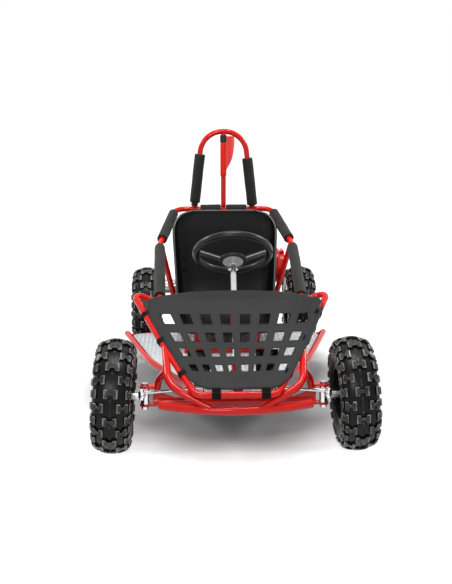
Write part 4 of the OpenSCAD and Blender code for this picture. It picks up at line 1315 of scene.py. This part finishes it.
class KART_OT_fasteners(bpy.types.Operator):
    """Hex bolts and nuts that hold the kart together"""
    bl_idname = "kart.fasteners"
    bl_label = "Fasteners"

    def execute(self, context):
        by_body = {"chassis": [], "rear_axle": [], "steering": []}
        for side in (-1, 1):
            for y in (965, 1035):
                by_body["chassis"].append((spot(side * 165, y, 147.6), Vector((0, 0, 1)), 13))
            by_body["chassis"].append((spot(side * 102, 530, 153), Vector((0, 0, 1)), 10))
            for k in range(4):
                a = math.tau * k / 4 + 0.4
                local = Vector((-5, 31 * math.sin(a), 31 * math.cos(a))) * MM
                point = rear_wheel(side).translation + Vector((side * local.x, local.y, local.z))
                by_body["rear_axle"].append((point, Vector((side, 0, 0)), 13))
        middle = spot(*WHEEL_CENTRE)
        for side in (-1, 1):
            point = middle + COLUMN * 60 * MM + Vector((side * 9 * MM, 0, 0))
            by_body["steering"].append((point, Vector((side, 0, 0)), 9))
        tree = fastener_tree()
        for body, list_of in by_body.items():
            made = point_cloud(f"{body}_fasteners", [p for p, _, _ in list_of],
                               facing=[tuple(d) for _, d, _ in list_of],
                               across=[s * MM for _, _, s in list_of])
            bake_tree(made, tree, {"Head height": 0.5, "Washer": 0.72, "Finish": FINISHES["zinc"]})
            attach(made, body)
        return {"FINISHED"}


def seen_rays(tree):
    """One for rays that end in the eye, straight or by a mirror or glass, and nothing for light."""
    rays = add(tree, "ShaderNodeLightPath").outputs
    direct = maths(tree, "MAXIMUM", rays["Is Camera Ray"], rays["Is Transmission Ray"])
    return maths(tree, "MAXIMUM", direct, rays["Is Glossy Ray"])


class KART_OT_stage(bpy.types.Operator):
    """Pale floor, soft lamps and the camera"""
    bl_idname = "kart.stage"
    bl_label = "Stage"

    def execute(self, context):
        look = context.scene.kart_stage
        scene = context.scene
        scene.view_settings.view_transform = "Standard"
        world = bpy.data.worlds.new("studio")
        scene.world = world
        world.use_nodes = True
        tree = world.node_tree
        tree.nodes.clear()
        level = add(tree, "ShaderNodeMix", {"Factor": seen_rays(tree), 2: look.sky, 3: 1.0})
        sky = add(tree, "ShaderNodeBackground", {"Color": (1, 1, 1, 1), "Strength": level.outputs[0]})
        add(tree, "ShaderNodeOutputWorld", {"Surface": sky.outputs[0]})

        ground = bpy.data.meshes.new("studio_floor")
        corners = [(x * FLOOR_SIZE, y * FLOOR_SIZE, 0) for x, y in ((-1, -1), (1, -1), (1, 1), (-1, 1))]
        ground.from_pydata(corners, [], [(0, 1, 2, 3)])
        material, tree = blank_material("Matt studio floor")
        # Far from the kart the floor glows for the eye alone, so it runs into the white behind
        place = add(tree, "ShaderNodeTexCoord").outputs["Object"]
        middle = vector_maths(tree, "SUBTRACT", place, FLOOR_MIDDLE)[0]
        reach = vector_maths(tree, "MULTIPLY", middle, FLOOR_REACH)[0]
        away = vector_maths(tree, "LENGTH", reach)["Value"]
        far = add(tree, "ShaderNodeMapRange", {"Value": away, "From Min": 0.6, "From Max": 1.0},
                  interpolation_type="SMOOTHSTEP")
        glow = maths(tree, "MULTIPLY", far.outputs["Result"], seen_rays(tree))
        shader = add(tree, "ShaderNodeBsdfPrincipled", {
            "Base Color": rgba(linear("#BCBCBC")), "Roughness": 0.9, "Specular IOR Level": 0.0,
            "Emission Color": (1, 1, 1, 1), "Emission Strength": glow})
        add(tree, "ShaderNodeOutputMaterial", {"Surface": shader.outputs[0]})
        ground.materials.append(material)
        made = bpy.data.objects.new("studio_floor", ground)
        scene.collection.objects.link(made)

        aim = Vector((0, 0, 0.35))
        lamps = (("overhead", (0.0, -0.3, 3.2), 1.5, look.key),
                 ("front", (-0.7, -3.6, 2.4), 1.1, look.fill),
                 ("left", (-2.6, 1.2, 2.2), 0.9, look.rim),
                 ("right", (2.6, 1.2, 2.2), 0.9, look.rim))
        for name, place, width, power in lamps:
            lamp = bpy.data.lights.new(name, "AREA")
            lamp.shape = "RECTANGLE"
            lamp.size, lamp.size_y = width, width * 0.7
            lamp.energy = power
            holder = bpy.data.objects.new(name, lamp)
            holder.location = place
            holder.rotation_euler = (aim - Vector(place)).to_track_quat("-Z", "Y").to_euler()
            scene.collection.objects.link(holder)

        lens = bpy.data.cameras.new("camera")
        lens.sensor_width = SENSOR
        lens.lens = FOCAL_PIXELS * SENSOR / PICTURE_HEIGHT
        camera = bpy.data.objects.new("camera", lens)
        camera.location = spot(*CAMERA_PLACE)
        camera.rotation_euler = Vector(CAMERA_VIEW).to_track_quat("-Z", "Y").to_euler()
        scene.collection.objects.link(camera)
        scene.camera = camera
        return {"FINISHED"}


PIECES = (
    KART_OT_finishes, KART_OT_tyres, KART_OT_nose_net, KART_OT_net_straps, KART_OT_pennant, KART_OT_foam,
    KART_OT_seat, KART_OT_floor_plate, KART_OT_chain, KART_OT_steering_wheel, KART_OT_hub,
    KART_OT_fasteners, KART_OT_stage,
)


class KART_PT_dressing(bpy.types.Panel):
    bl_idname = "KART_PT_dressing"
    bl_label = "Kart dressing"
    bl_space_type = "VIEW_3D"
    bl_region_type = "UI"
    bl_category = "Kart"

    def draw(self, context):
        for name, group in GROUPS.items():
            box = self.layout.box()
            for key in group.__annotations__:
                box.prop(getattr(context.scene, name), key)
        for piece in PIECES:
            self.layout.operator(piece.bl_idname)


CLASSES = (*GROUPS.values(), *PIECES, KART_PT_dressing)


def register():
    for cls in CLASSES:
        bpy.utils.register_class(cls)
    for name, group in GROUPS.items():
        setattr(bpy.types.Scene, name, PointerProperty(type=group))


def unregister():
    for name in GROUPS:
        delattr(bpy.types.Scene, name)
    for cls in reversed(CLASSES):
        bpy.utils.unregister_class(cls)


def main():
    register()
    for piece in PIECES:
        space, name = piece.bl_idname.split(".")
        getattr(getattr(bpy.ops, space), name)()


if __name__ == "__main__":
    main()
